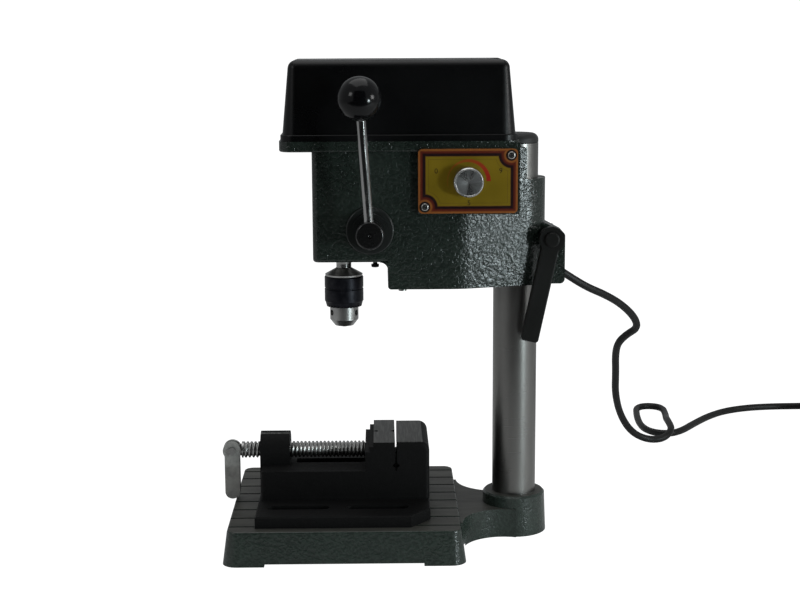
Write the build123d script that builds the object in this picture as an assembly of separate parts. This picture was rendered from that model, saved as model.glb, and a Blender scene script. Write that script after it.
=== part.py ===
"""Small bench drill press with a bench vise standing on its base.

+X runs from the chuck to the column, +Y away from the speed knob's side, +Z up.
The origin is on the column's axis, on the plane that the base stands on.
"""
from build123d import *
from math import acos, atan2, cos, hypot, pi, radians, sin, sqrt, tan
import os

os.makedirs("parts", exist_ok=True)

# ---- fits and clearances ------------------------------------------------
run_fit = 0.04          # radial play of a shaft or quill in its bore
free_gap = 0.4          # gap between faces that move past each other
thread_gap = 0.1        # radial play left for a thread that is drawn plain
drive_gap = 0.06        # play between the spindle's two flats and the bore they turn in

# ---- base ---------------------------------------------------------------
plate_l = 150.0         # along X, at the foot
plate_w = 150.0         # along Y, at the foot
plate_t = 21.4
plate_draft = 8.0       # degrees
plate_corner = 9.0
foot_inset = 26.0       # length of a corner land along each edge
foot_h = 1.8
groove_n = 8
groove_pitch = 17.4
groove_w = 1.8
groove_d = 1.2
neck_t = 18.5
neck_w = 41.0
neck_curve = 27.0
boss_r = 20.6
boss_h = 26.2
socket_floor = 6.0
set_screw_r = 3.0
set_screw_z = 14.0

# ---- column -------------------------------------------------------------
column_r = 14.0
column_top = 253.0
cap_h = 5.7
cap_plug_r = 11.0
cap_plug_l = 12.0
column_wall = 3.0

# ---- head casting -------------------------------------------------------
throat = 109.5          # column axis to spindle axis
nose_front = 18.5       # spindle axis to the head's front face
nose_l = 46.5           # length of the raised front block along X
head_half_w = 30.0
head_wall = 3.0
nose_bottom = 181.0
head_bottom = 164.0
rim_bottom = 249.5
rim_floor = 253.0
rim_top = 256.0
rim_overhang = 20.0     # rim beyond the front face
rim_stand = 2.0          # rim and panel pad beyond the head's sides
rim_rear = -0.2         # X of the head's rear end beside the column
rim_corner = 8.0
rim_wall = 2.6
taper_start = -36.0     # X where the sides begin to close in on the clamp sleeve
sleeve_r = 18.5
sleeve_top = 231.0
column_pass = 1.5       # radial gap between the column and the box around it
pad_front = -63.0       # X where the panel pad begins
pad_bottom = 210.5
bay_front = -76.0
bay_rear = -20.5
slit_w = 3.0

# ---- clamp --------------------------------------------------------------
ear_half_t = 11.5
ear_reach = 30.5        # X of the ears' outer end
ear_top = 196.0
ear_rise = 6.5         # extra height where the ears meet the sleeve
clamp_x = 20.8
clamp_z = 194.0
bolt_r = 3.0
lever_pivot_r = 8.0
lever_l = 66.0
lever_w = 11.0
lever_t = 6.0
lever_lean = 12.0       # degrees from straight down, towards the spindle
lever_offset = 8.5      # ear face to lever blade

# ---- quill, rack and pinion --------------------------------------------
module = 1.0
pinion_teeth = 16
pressure_angle = 20.0
tooth_backlash = 0.22
quill_r = 10.0
quill_l = 50.0
quill_inset = 0.8       # quill's lower end above the casting's underside
quill_stroke = 25.0
pinion_z = 201.0
pinion_face = 16.0
pinion_shaft_r = 6.0
bearing_w = 5.0
quill_bearing_r = 8.0
spindle_r = 4.0
spindle_flat = 0.8      # depth of each flat cut on the spindle
flare_r = 5.2
neck_r = 4.8

# ---- feed lever ---------------------------------------------------------
collar_r = 14.8
collar_t = 4.0
collar_step_r = 11.0
collar_step_t = 2.0
hub_r = 8.5
hub_l = 22.0
rod_r = 3.0
rod_inset = 6.5         # rod axis behind the hub's outer face
rod_l = 83.0            # hub axis to ball centre
rod_lean = 3.7          # degrees from upright, away from the column
rod_splay = 7.0         # degrees outwards from the head's side
ball_r = 13.4
spring_cap_r = 15.0
spring_cap_l = 12.0
spring_turns = 4
spring_band = 0.6
spring_hub_r = 4.4
spring_cap_wall = 1.8

# ---- chuck --------------------------------------------------------------
chuck_top = 173.6
chuck_shoulder = 169.6
chuck_sleeve_r = 12.4
chuck_sleeve_bottom = 152.0
chuck_ring_bottom = 148.9
chuck_nose_r = 9.1
chuck_nose_bottom = 136.4
chuck_nose_flat_r = 6.0
chuck_nose_bevel = 4.0
key_hole_r = 1.9
key_hole_z = 145.0
gear_ring_teeth = 30
jaw_r = 1.7
jaw_angle = 16.0        # degrees from the spindle axis
jaw_l = 19.0
jaw_rest_gap = 0.25     # half the drill diameter held at rest
jaw_tip_z = 135.4
jaw_travel = 7.0
jaw_pitch = 1.5

# ---- drive --------------------------------------------------------------
motor_x = -46.5
motor_r = 18.5
motor_l = 52.0
motor_screw_y = 12.5    # screws each side of the motor's shaft
motor_shaft_r = 2.5
motor_pulley_r = 6.5
spindle_pulley_r = 21.0
pulley_floor = 257.0
pulley_w = 11.0
pulley_flange = 1.2
belt_w = 8.0
belt_t = 1.4
pulley_hub_r = 6.0
pulley_hole_x = 12.5    # lightening holes in the spindle pulley
pulley_hole_r = 3.0
pulley_bearing_r = 12.0
pulley_bearing_w = 6.0
spindle_top = 288.0

# ---- belt cover ---------------------------------------------------------
lip_h = 4.0
lip_inset = 0.8
shell_inset = 0.9
cover_h = 49.0
cover_taper = 5.4       # degrees
cover_corner = 9.0
cover_edge = 5.0
cover_wall = 2.2

# ---- speed control ------------------------------------------------------
panel_l = 61.0
panel_h = 39.5
panel_t = 2.4
panel_corner = 2.6
panel_cx = -32.2
panel_cz = 231.6
panel_screw_in = 4.0
knob_r = 9.3
knob_l = 9.5
pot_r = 3.5
pot_shaft_r = 3.0

# ---- vise ---------------------------------------------------------------
vise_x0 = -164.5        # left end of the vise body
vise_l = 108.6
vise_base_half_w = 65.0
vise_base_t = 7.3
vise_bevel_x = 12.5
vise_bevel_y = 16.0
vise_half_w = 29.0
bed_top = 47.0
slot_y = 46.0
slot_w = 7.0
slot_l = 39.0
slot_1_cx = -138.6
slot_2_cx = -89.0
jaw_top = 65.7
jaw_face_x = -76.4      # fixed jaw's face
fixed_jaw_l = 14.6
jaw_gap = 1.3
moving_jaw_l = 19.0
way_half_w = 17.0
way_slot_half_w = 5.0
nut_l = 19.0
nut_r = 12.2
vise_screw_z = 54.0
vise_screw_r = 5.3
vise_tip_cut = 1.5      # how much thinner the screw's turned tip is, by radius
vise_screw_pitch = 2.5
vise_screw_end = -177.0
eye_r = 5.9
eye_x = -183.4
handle_w = 9.6
handle_l = 32.0
handle_t = 6.4
handle_pin_r = 1.6
vise_recess = 9.0       # depth of the hollow under the bed
slide_gap = 0.05        # play of the moving jaw's foot over the keeper

# ---- cord ---------------------------------------------------------------
cord_r = 2.75
gland_x = -28.0
gland_z = 180.0
boot_l = 30.0
boot_r0 = 5.2
boot_r1 = 3.7
coil_mid_r = 31.0
coil_cx = 303.0
coil_cy = 272.0
coil_h = 11.6
coil_band = 17.0
tie_t = 0.8
tie_w = 8.0
plug_w = 30.0
plug_t = 15.0
plug_l = 26.0
plug_tail = 16.0
pin_r = 2.0
pin_l = 19.0
pin_pitch = 18.6

# ---- derived places -----------------------------------------------------
spindle_x = -throat
front_x = spindle_x - nose_front
rim_front = front_x - rim_overhang
plate_cx = spindle_x
plate_x1 = plate_cx + plate_l / 2
pinion_r = module * pinion_teeth / 2
rack_x = quill_r - module
pinion_x = spindle_x + rack_x + pinion_r
quill_z0 = nose_bottom + quill_inset
bearing_seat_z = rim_floor - 2 * pulley_bearing_w - 3.0
cover_x0 = rim_front + lip_inset
cover_x1 = rim_rear - lip_inset
rim_half_w = head_half_w + rim_stand
cover_half_w = rim_half_w - lip_inset
panel_y = -rim_half_w
vise_z = plate_t
vise_x1 = vise_x0 + vise_l
moving_face_x = jaw_face_x - jaw_gap
moving_back_x = moving_face_x - moving_jaw_l


def block(x0, x1, y0, y1, z0, z1):
    """Box between two corners."""
    size = Box(x1 - x0, y1 - y0, z1 - z0)
    return Pos((x0 + x1) / 2, (y0 + y1) / 2, (z0 + z1) / 2) * size


def post(x, y, z0, z1, r):
    """Cylinder along Z."""
    return Pos(x, y, (z0 + z1) / 2) * Cylinder(r, z1 - z0)


def bar_y(x, z, y0, y1, r):
    """Cylinder along Y."""
    return Pos(x, (y0 + y1) / 2, z) * Rot(90, 0, 0) * Cylinder(r, y1 - y0)


def bar_x(y, z, x0, x1, r):
    """Cylinder along X."""
    return Pos((x0 + x1) / 2, y, z) * Rot(0, 90, 0) * Cylinder(r, x1 - x0)


def turned(x, profile):
    """Solid of revolution about the vertical line at X, from (radius, height) points."""
    outline = Polyline(*[(r, 0, z) for r, z in profile], close=True)
    return Pos(x, 0, 0) * revolve(make_face(outline), Axis.Z)


def slab(outline, z0, z1):
    """Straight-sided prism over a plan outline."""
    return extrude(Pos(0, 0, z0) * outline, z1 - z0, dir=(0, 0, 1))


def rounded_slab(x0, x1, half_w, z0, z1, corner, taper=0.0):
    """Rounded rectangle raised along Z, drawn in by a taper."""
    plan = RectangleRounded(x1 - x0, 2 * half_w, corner)
    return extrude(Pos((x0 + x1) / 2, 0, z0) * plan, z1 - z0, taper=taper, dir=(0, 0, 1))


def save(shape, name):
    export_step(shape, "parts/" + name + ".step")


# ---- base and column ----------------------------------------------------

def base_plate():
    plate = rounded_slab(plate_cx - plate_l / 2, plate_x1, plate_w / 2, 0, plate_t,
                         plate_corner, plate_draft)
    plate = fillet(plate.faces().sort_by(Axis.Z)[-1].edges(), 1.2)
    reach = neck_curve + neck_w / 2
    neck = Rectangle(-plate_x1 + 6, 2 * reach, align=(Align.MIN, Align.CENTER))
    neck = Pos(plate_x1 - 6, 0) * neck
    for side in (-1, 1):
        neck -= Pos(plate_x1 + neck_curve - 1, side * reach) * Circle(neck_curve)
        far = Rectangle(-plate_x1, reach, align=(Align.MIN, Align.CENTER))
        neck -= Pos(plate_x1 + neck_curve - 1, side * (reach + neck_w / 2)) * far
    neck = slab(neck, 0, neck_t)
    boss = turned(0, [(0, 0), (boss_r + 0.4, 0), (boss_r - 0.6, boss_h - 1.2),
                      (boss_r - 1.8, boss_h), (0, boss_h)])
    base = plate + neck + boss
    long = plate_l - 2 * foot_inset
    wide = plate_w - 2 * foot_inset
    base -= Pos(plate_cx, 0, 0) * Box(long, plate_w + 2, 2 * foot_h)
    base -= Pos(plate_cx, 0, 0) * Box(plate_l + 2, wide, 2 * foot_h)
    base += post(0, 0, 0, socket_floor, boss_r)
    for k in range(groove_n):
        y = (k - (groove_n - 1) / 2) * groove_pitch
        groove = Box(plate_l - 4, groove_w, 2 * groove_d)
        base -= Pos(plate_cx, y, plate_t) * groove
    base -= post(0, 0, socket_floor, boss_h + 1, column_r + run_fit)
    base -= bar_x(0, set_screw_z, column_r - 2, boss_r + 4, set_screw_r)
    return base


def column_set_screw():
    screw = bar_x(0, set_screw_z, column_r + run_fit, boss_r - 0.8, set_screw_r)
    socket = Pos(boss_r - 0.8, 0, set_screw_z) * Rot(0, 90, 0)
    return screw - socket * extrude(RegularPolygon(1.7, 6), 2.5, both=True)


def column():
    tube = post(0, 0, socket_floor, column_top, column_r)
    tube = chamfer(tube.faces().sort_by(Axis.Z)[-1].edges(), 0.5)
    return tube - post(0, 0, socket_floor + 4, column_top + 1, column_r - column_wall)


def column_cap():
    head = post(0, 0, column_top, column_top + cap_h, column_r)
    head = fillet(head.faces().sort_by(Axis.Z)[-1].edges(), cap_h - 1.5)
    return head + post(0, 0, column_top - cap_plug_l, column_top, cap_plug_r)


# ---- head casting -------------------------------------------------------

def wall_plan(inset):
    """Plan of the rear body: parallel sides that close in on the clamp sleeve."""
    half = head_half_w - inset
    r = sleeve_r - inset
    start = (taper_start, half)
    to_start = atan2(start[1], start[0])
    touch = to_start - acos(r / hypot(*start))
    meet = (r * cos(touch), r * sin(touch))
    left = front_x + nose_l
    points = [(left, -half), (taper_start, -half), (meet[0], -meet[1]),
              (meet[0], meet[1]), (taper_start, half), (left, half)]
    face = make_face(Polyline(*points, close=True))
    bends = [v for v in face.vertices() if abs(v.X - taper_start) < 0.01]
    return fillet(bends, 40.0)


def head_casting():
    nose = block(front_x, front_x + nose_l + 2, -head_half_w, head_half_w, nose_bottom, rim_bottom + 1)
    front_edges = nose.edges().filter_by(Axis.Z).sort_by(Axis.X)[:2]
    nose = fillet(front_edges, 4.0)
    nose = fillet(nose.faces().sort_by(Axis.Z)[0].edges().sort_by(Axis.X)[0:1], 2.0)
    rear = slab(wall_plan(0), head_bottom, rim_bottom + 1)
    step_foot = front_x + nose_l
    rear_edges = [e for e in rear.edges().filter_by(Axis.Y)
                  if abs(e.center().X - step_foot) < 0.1 and e.center().Z < head_bottom + 1]
    rear = fillet(rear_edges, 2.0)
    web = block(step_foot - 5, step_foot + 1, -head_half_w, head_half_w, nose_bottom - 5, nose_bottom)
    web -= bar_y(step_foot - 5, nose_bottom - 5, -head_half_w - 1, head_half_w + 1, 5.0)
    sleeve = post(0, 0, head_bottom, sleeve_top, sleeve_r)
    pad = block(pad_front, rim_rear, -rim_half_w, rim_half_w, pad_bottom, rim_top - 1)
    low_edges = [e for e in pad.edges().filter_by(Axis.X) if e.center().Z < pad_bottom + 1]
    pad = fillet(low_edges, 3.0)
    rim = rounded_slab(rim_front, rim_rear, rim_half_w, rim_bottom, rim_top, rim_corner)
    rim = fillet(rim.faces().sort_by(Axis.Z)[0].edges(), 1.2)
    ears = ear_pair()
    head = nose + rear + web + sleeve + pad + rim + ears
    head -= motor_bay()
    head -= post(0, 0, sleeve_top, rim_top + 1, column_r + column_pass)
    head -= post(0, 0, head_bottom - 1, sleeve_top + 1, column_r + run_fit)
    head -= block(0, ear_reach + 1, -slit_w / 2, slit_w / 2, head_bottom - 1, sleeve_top + 1)
    head -= bar_y(clamp_x, clamp_z, -ear_half_t - 1, ear_half_t + 1, bolt_r + 0.3)
    tray_x1 = -column_r - column_pass - rim_wall
    tray = rounded_slab(rim_front + rim_wall, tray_x1, rim_half_w - rim_wall, rim_floor,
                        rim_top + 1, rim_corner - rim_wall)
    head -= tray
    head -= post(spindle_x, 0, nose_bottom - 1, bearing_seat_z, quill_r + run_fit)
    head -= post(spindle_x, 0, bearing_seat_z, rim_top, pulley_bearing_r)
    gear_room = pinion_r + module + 0.3
    head -= bar_y(pinion_x, pinion_z, -head_half_w - 3, pinion_face / 2 + 1, gear_room)
    head -= bar_y(pinion_x, pinion_z, 0, head_half_w + 3, pinion_shaft_r + run_fit)
    head -= post(pinion_x + 3, 0, nose_bottom - 1, nose_bottom + 8, 1.5)
    head -= post(motor_x, 0, rim_bottom - 1, rim_top, motor_pulley_r + 2.5)
    for side in (-1, 1):
        head -= post(motor_x, side * motor_screw_y, rim_bottom - 1, rim_floor + 1, 1.6)
    head -= bar_y(panel_cx, panel_cz, -rim_half_w - 1, -head_half_w + head_wall + 1, pot_r + 0.2)
    for x, z in panel_screw_places():
        head -= bar_y(x, z, -rim_half_w - 1, -rim_half_w + 5, 1.2)
    head -= gland_place() * Pos(0, 0, -2) * Cylinder(boot_r0 - 1.5, 20)
    for x, y in bottom_screw_places():
        corner = block(bay_front - 1, x + 3.5, min(y, y * 2), max(y, y * 2),
                       head_bottom + 1.5, head_bottom + 14)
        corner &= block(front_x, 0, -head_half_w + 1, head_half_w - 1, head_bottom, rim_bottom)
        head += post(x, y, head_bottom + 1.5, head_bottom + 14, 3.5) + corner
        head -= post(x, y, head_bottom - 1, head_bottom + 10, 1.2)
    return head


def ear_pair():
    """Two ears behind the sleeve, with a sloping top."""
    side = Polyline((sleeve_r - 4, head_bottom), (ear_reach, head_bottom), (ear_reach, ear_top),
                    (sleeve_r, ear_top + ear_rise), (sleeve_r - 4, ear_top + ear_rise), close=True)
    face = make_face(side)
    face = fillet(face.vertices().sort_by(Axis.X)[-2:], 3.0)
    face = Plane.XZ * face
    return extrude(face, ear_half_t, both=True)


def motor_bay():
    """Open bay for the motor, behind the quill block."""
    inner = block(bay_front, bay_rear, -head_half_w + head_wall, head_half_w - head_wall,
                  head_bottom - 1, rim_bottom)
    shape = slab(wall_plan(head_wall), head_bottom - 1, pad_bottom)
    upper = block(bay_front, bay_rear, -head_half_w, head_half_w, pad_bottom, rim_bottom)
    return inner & (shape + upper)


def gland_place():
    """Frame of the cord entry: Z points out of the tapered wall on the far side."""
    meet = acos(sleeve_r / hypot(taper_start, head_half_w))
    touch = atan2(head_half_w, taper_start) - meet
    y = head_half_w - (gland_x - taper_start) / tan(touch)
    out = (cos(touch), sin(touch), 0)
    return Plane(origin=(gland_x, y, gland_z), x_dir=(0, 0, 1), z_dir=out).location


def panel_screw_places():
    dx = panel_l / 2 - panel_screw_in
    dz = panel_h / 2 - panel_screw_in
    return [(panel_cx + dx, panel_cz + dz), (panel_cx - dx, panel_cz - dz)]


def bottom_screw_places():
    y = head_half_w - head_wall - 3.0
    return [(bay_front + 3.6, -y), (bay_front + 3.6, y)]


def bottom_plate():
    """Vented sheet that closes the motor bay from below."""
    sheet = slab(wall_plan(head_wall + free_gap), head_bottom, head_bottom + 1.5)
    keep = block(bay_front + free_gap, bay_rear - free_gap, -head_half_w, head_half_w,
                 head_bottom, head_bottom + 1.5)
    sheet = sheet & keep
    for k in range(7):
        sheet -= Pos(motor_x + (k - 3) * 6, 0, head_bottom) * Box(2.4, 26, 6)
    for x, y in bottom_screw_places():
        sheet -= post(x, y, head_bottom - 1, head_bottom + 2, 1.5)
    return sheet


def bottom_screws():
    group = []
    for x, y in bottom_screw_places():
        shank = post(x, y, head_bottom, head_bottom + 9, 1.2)
        head = post(x, y, head_bottom - 1.6, head_bottom, 2.5)
        group.append(shank + head - Pos(x, y, head_bottom - 1.6) * Box(6, 0.6, 1.2))
    return Compound(group)


# ---- clamp --------------------------------------------------------------

def clamp_bolt():
    bolt = bar_y(clamp_x, clamp_z, -ear_half_t - lever_offset - lever_t + 1, ear_half_t, bolt_r)
    head = Pos(clamp_x, ear_half_t + 2.5, clamp_z) * Box(10, 5, 10)
    return bolt + fillet(head.edges().filter_by(Axis.Y), 1.0)


def clamp_lever():
    y0 = -ear_half_t - lever_offset
    hub = bar_y(clamp_x, clamp_z, y0 - lever_t, -ear_half_t - free_gap, lever_pivot_r - 1.5)
    disc = bar_y(clamp_x, clamp_z, y0 - lever_t, y0, lever_pivot_r)
    blade = Pos(0, 0, -lever_l / 2) * Box(lever_w, lever_t, lever_l)
    blade = fillet(blade.edges().filter_by(Axis.Y).sort_by(Axis.Z)[:2], 2.0)
    blade = fillet(blade.faces().sort_by(Axis.Y)[0].edges(), 0.8)
    blade = Pos(clamp_x, y0 - lever_t / 2, clamp_z) * Rot(0, lever_lean, 0) * blade
    return hub + disc + blade - bar_y(clamp_x, clamp_z, y0 - lever_t - 1, 0, bolt_r + run_fit)


def clamp_lever_cap():
    y0 = -ear_half_t - lever_offset - lever_t
    cap = bar_y(clamp_x, clamp_z, y0 - 2.0, y0, 4.6)
    return fillet(cap.faces().sort_by(Axis.Y)[0].edges(), 1.0)


# ---- drive --------------------------------------------------------------

def motor_case():
    top = rim_bottom
    can = post(motor_x, 0, top - motor_l, top, motor_r)
    can = fillet(can.faces().sort_by(Axis.Z)[-1].edges(), 1.5)
    can += post(motor_x, 0, top, top + 1.5, 6.0)
    can -= post(motor_x, 0, top - motor_l - 1, top - 3, motor_r - 1.6)
    can -= post(motor_x, 0, top - 4, top + 3, motor_shaft_r + 0.5)
    for side in (-1, 1):
        can -= post(motor_x, side * motor_screw_y, top - 3.5, top + 1, 1.25)
        can -= Pos(motor_x, side * motor_r, top - 12) * Box(8, 8, 4)
    return can


def motor_end_cap():
    z = rim_bottom - motor_l
    cap = post(motor_x, 0, z - 4, z, motor_r)
    cap = fillet(cap.faces().sort_by(Axis.Z)[0].edges(), 1.5)
    cap += post(motor_x, 0, z, z + 4, motor_r - 2.0)
    cap -= post(motor_x, 0, z - 1, z + 5, motor_shaft_r + 0.5)
    for side in (-1, 1):
        cap += Pos(motor_x + side * 11, 0, z - 6.5) * Box(1, 5, 7)
    return cap


def motor_shaft():
    top = pulley_floor + pulley_w + 2
    shaft = post(motor_x, 0, rim_bottom - motor_l, top, motor_shaft_r)
    z0 = rim_bottom - motor_l + 8
    return shaft + post(motor_x, 0, z0, rim_bottom - 7, motor_r - 4.0)


def motor_screws():
    group = []
    for side in (-1, 1):
        shank = post(motor_x, side * motor_screw_y, rim_bottom - 3, rim_floor, 1.2)
        head = post(motor_x, side * motor_screw_y, rim_floor, rim_floor + 1.8, 2.6)
        slot = Pos(motor_x, side * motor_screw_y, rim_floor + 1.8) * Box(6, 0.7, 1.2)
        group.append(shank + head - slot)
    return Compound(group)


def grooved_wheel(x, r, z0):
    """Belt wheel with a flange at each end."""
    wheel = post(x, 0, z0, z0 + pulley_w, r)
    for z in (z0, z0 + pulley_w - pulley_flange):
        wheel += post(x, 0, z, z + pulley_flange, r + belt_t + 0.8)
    return wheel


def motor_pulley():
    wheel = grooved_wheel(motor_x, motor_pulley_r, pulley_floor)
    return wheel - post(motor_x, 0, pulley_floor - 1, pulley_floor + pulley_w + 1, motor_shaft_r)


def double_d(r, z0, z1, flat):
    """Round bar with two flats."""
    return post(spindle_x, 0, z0, z1, r) & block(spindle_x - r - 1, spindle_x + r + 1,
                                                  -flat, flat, z0, z1)


def spindle_pulley():
    wheel = grooved_wheel(spindle_x, spindle_pulley_r, pulley_floor)
    wheel -= post(spindle_x, 0, pulley_floor + 3, pulley_floor + pulley_w + 1, spindle_pulley_r - 4)
    wheel += post(spindle_x, 0, bearing_seat_z + 1, pulley_floor, pulley_hub_r)
    wheel += post(spindle_x, 0, pulley_floor, pulley_floor + pulley_w, pulley_hub_r + 2)
    for k in range(6):
        hole = post(pulley_hole_x, 0, pulley_floor - 1, pulley_floor + 4, pulley_hole_r)
        wheel -= Pos(spindle_x, 0, 0) * Rot(0, 0, 60 * k) * hole
    flat = spindle_r - spindle_flat + drive_gap
    return wheel - double_d(spindle_r + drive_gap, bearing_seat_z, pulley_floor + pulley_w + 1, flat)


def ring(x, z0, z1, r_in, r_out):
    return post(x, 0, z0, z1, r_out) - post(x, 0, z0 - 1, z1 + 1, r_in)


def bearing(x, z0, w, r_in, r_out):
    """Ball bearing as one ring with a shallow groove on each side."""
    body = ring(x, z0, z0 + w, r_in, r_out)
    mid = (r_in + r_out) / 2
    for z in (z0, z0 + w):
        body -= ring(x, z - 0.4, z + 0.4, mid - 0.9, mid + 0.9)
    return body


def pulley_bearings():
    z0 = bearing_seat_z + 1.5
    z1 = z0 + pulley_bearing_w + 1.2
    return Compound([bearing(spindle_x, z, pulley_bearing_w, pulley_hub_r, pulley_bearing_r)
                     for z in (z0, z1)])


def drive_belt():
    """Flat belt around both wheels."""
    z0 = pulley_floor + (pulley_w - belt_w) / 2
    outer = belt_plan(belt_t + 0.15)
    inner = belt_plan(0.15)
    return slab(outer - inner, z0, z0 + belt_w)


def belt_plan(grow):
    """Tangent hull of the two wheels, grown by a distance."""
    big = spindle_pulley_r + grow
    small = motor_pulley_r + grow
    lean = acos((big - small) / (motor_x - spindle_x))
    hull = [(spindle_x + big * cos(a), big * sin(a)) for a in (-lean, lean)]
    hull += [(motor_x + small * cos(a), small * sin(a)) for a in (lean, -lean)]
    face = make_face(Polyline(*hull, close=True))
    return face + Pos(spindle_x, 0) * Circle(big) + Pos(motor_x, 0) * Circle(small)


def belt_cover():
    z0 = rim_top
    lip = rounded_slab(cover_x0, cover_x1, cover_half_w, z0, z0 + lip_h, cover_corner)
    lip = fillet(lip.faces().sort_by(Axis.Z)[-1].edges(), 0.8)
    x0 = cover_x0 + shell_inset
    x1 = cover_x1 - shell_inset
    half = cover_half_w - shell_inset
    hood = rounded_slab(x0, x1, half, z0, z0 + cover_h, cover_corner, cover_taper)
    hood = fillet(hood.faces().sort_by(Axis.Z)[-1].edges(), cover_edge)
    shell = lip + hood
    room = rounded_slab(x0 + cover_wall, x1 - cover_wall, half - cover_wall, z0 - 1,
                        z0 + cover_h - cover_wall, cover_corner - cover_wall, cover_taper)
    well = column_r + column_pass + 1.0
    room -= post(0, 0, z0 - 2, z0 + cover_h + 1, well + cover_wall)
    return shell - room - post(0, 0, z0 - 1, z0 + cover_h + 1, well)


# ---- speed control ------------------------------------------------------

def speed_panel():
    plate = Box(panel_l, panel_t, panel_h)
    plate = fillet(plate.edges().filter_by(Axis.Y), panel_corner)
    plate = Pos(panel_cx, panel_y - panel_t / 2, panel_cz) * plate
    plate -= bar_y(panel_cx, panel_cz, panel_y - panel_t - 1, panel_y + 1, pot_r + 0.2)
    for x, z in panel_screw_places():
        plate -= bar_y(x, z, panel_y - panel_t - 1, panel_y + 1, 1.5)
    return plate


def panel_screws():
    group = []
    for x, z in panel_screw_places():
        y = panel_y - panel_t
        shank = bar_y(x, z, y, panel_y + 4, 1.2)
        head = bar_y(x, z, y - 1.4, y, 2.4)
        head = fillet(head.faces().sort_by(Axis.Y)[0].edges(), 0.8)
        cross = Pos(x, y - 1.4, z) * (Box(2.6, 1.2, 0.5) + Box(0.5, 1.2, 2.6))
        group.append(shank + head - cross)
    return Compound(group)


def potentiometer():
    inner_y = -head_half_w + head_wall
    body = Pos(panel_cx, inner_y + 3.6, panel_cz) * Box(14, 7.2, 14)
    body = fillet(body.edges().filter_by(Axis.Y), 1.5)
    bush = bar_y(panel_cx, panel_cz, panel_y - panel_t - 3, inner_y + 1, pot_r)
    return body + bush - bar_y(panel_cx, panel_cz, panel_y - panel_t - 4, inner_y + 5,
                               pot_shaft_r + run_fit)


def pot_nut():
    y = panel_y - panel_t
    nut = Pos(panel_cx, y, panel_cz) * Rot(90, 0, 0) * extrude(RegularPolygon(5.5, 6), 1.8)
    return nut - bar_y(panel_cx, panel_cz, y - 3, y + 1, pot_r)


def pot_shaft():
    y0 = panel_y - panel_t - knob_l
    return bar_y(panel_cx, panel_cz, y0 + 1.4, -head_half_w + head_wall + 4.5, pot_shaft_r)


def speed_knob():
    y1 = panel_y - panel_t - free_gap
    y0 = y1 - knob_l
    knob = bar_y(panel_cx, panel_cz, y0, y1, knob_r)
    knob = chamfer(knob.faces().sort_by(Axis.Y)[0].edges(), 0.5)
    knob -= bar_y(panel_cx, panel_cz, y1 - 3.2, y1 + 1, 6.6)
    knob -= bar_y(panel_cx, panel_cz, y0 + 1.6, y1 + 1, pot_shaft_r)
    return knob


def circuit_board():
    y0 = 22.0
    board = block(-71, -43, y0, y0 + 1.6, 180, 207)
    pegs = [bar_y(x, z, y0 + 1.6, head_half_w - head_wall, 1.5)
            for x in (-68.5, -45.5) for z in (182.5, 204.5)]
    for peg in pegs:
        board += peg
    board += block(-60, -52, y0 - 2.4, y0, 184, 194)
    board += block(-70, -64, y0 - 4, y0, 186, 200)
    return board


# ---- quill and feed -----------------------------------------------------

def rack_spaces():
    """Straight-flanked tooth spaces of the rack, one of them level with the pinion."""
    pitch = pi * module
    slope = tan(radians(pressure_angle))
    tip = pitch / 4 + slope * module + tooth_backlash / 2
    root = pitch / 4 - slope * 1.25 * module + tooth_backlash / 2
    x_tip = spindle_x + quill_r + 0.6
    x_root = spindle_x + rack_x - 1.25 * module
    extra = slope * 0.6
    cutters = []
    for k in range(-1, int(quill_stroke / pitch) + 3):
        z = pinion_z + k * pitch
        shape = Polyline((x_root, z - root), (x_tip, z - tip - extra), (x_tip, z + tip + extra),
                         (x_root, z + root), close=True)
        cutters.append(extrude(Plane.XZ * make_face(shape), pinion_face / 2 + 1, both=True))
    return cutters


def quill():
    z0 = quill_z0
    z1 = quill_z0 + quill_l
    body = post(spindle_x, 0, z0, z1, quill_r)
    body -= post(spindle_x, 0, z0 - 1, z1 + 1, spindle_r + 1.5)
    body -= post(spindle_x, 0, z0 - 1, z0 + bearing_w, quill_bearing_r)
    body -= post(spindle_x, 0, z1 - bearing_w, z1 + 1, quill_bearing_r)
    for cutter in rack_spaces():
        body -= cutter
    return body


def quill_bearings():
    z1 = quill_z0 + quill_l
    return Compound([bearing(spindle_x, z, bearing_w, spindle_r, quill_bearing_r)
                     for z in (quill_z0, z1 - bearing_w)])


def spindle():
    z0 = quill_z0 - 0.3
    taper_end = chuck_top - 13.0
    profile = [(0, taper_end), (3.2, taper_end), (3.8, chuck_top), (neck_r, chuck_top + 0.2),
               (neck_r, chuck_top + 2.6), (flare_r, chuck_top + 5.4), (flare_r, z0),
               (spindle_r, z0), (spindle_r, spindle_top), (0, spindle_top)]
    shaft = turned(spindle_x, profile)
    flats_z = quill_z0 + quill_l + 3
    flat = spindle_r - spindle_flat
    for side in (-1, 1):
        shaft -= Pos(spindle_x, side * (flat + 2), (flats_z + spindle_top) / 2) * Box(
            12, 4, spindle_top - flats_z + 0.2)
    groove_z = quill_z0 + quill_l + 0.3
    return shaft - ring(spindle_x, groove_z, groove_z + 1, spindle_r - 0.6, spindle_r + 1)


def spindle_circlip():
    z = quill_z0 + quill_l + 0.3
    clip = ring(spindle_x, z, z + 1, spindle_r - 0.6, spindle_r + 1.4)
    return clip - block(spindle_x, spindle_x + 8, -1.2, 1.2, z - 1, z + 2)


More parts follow.
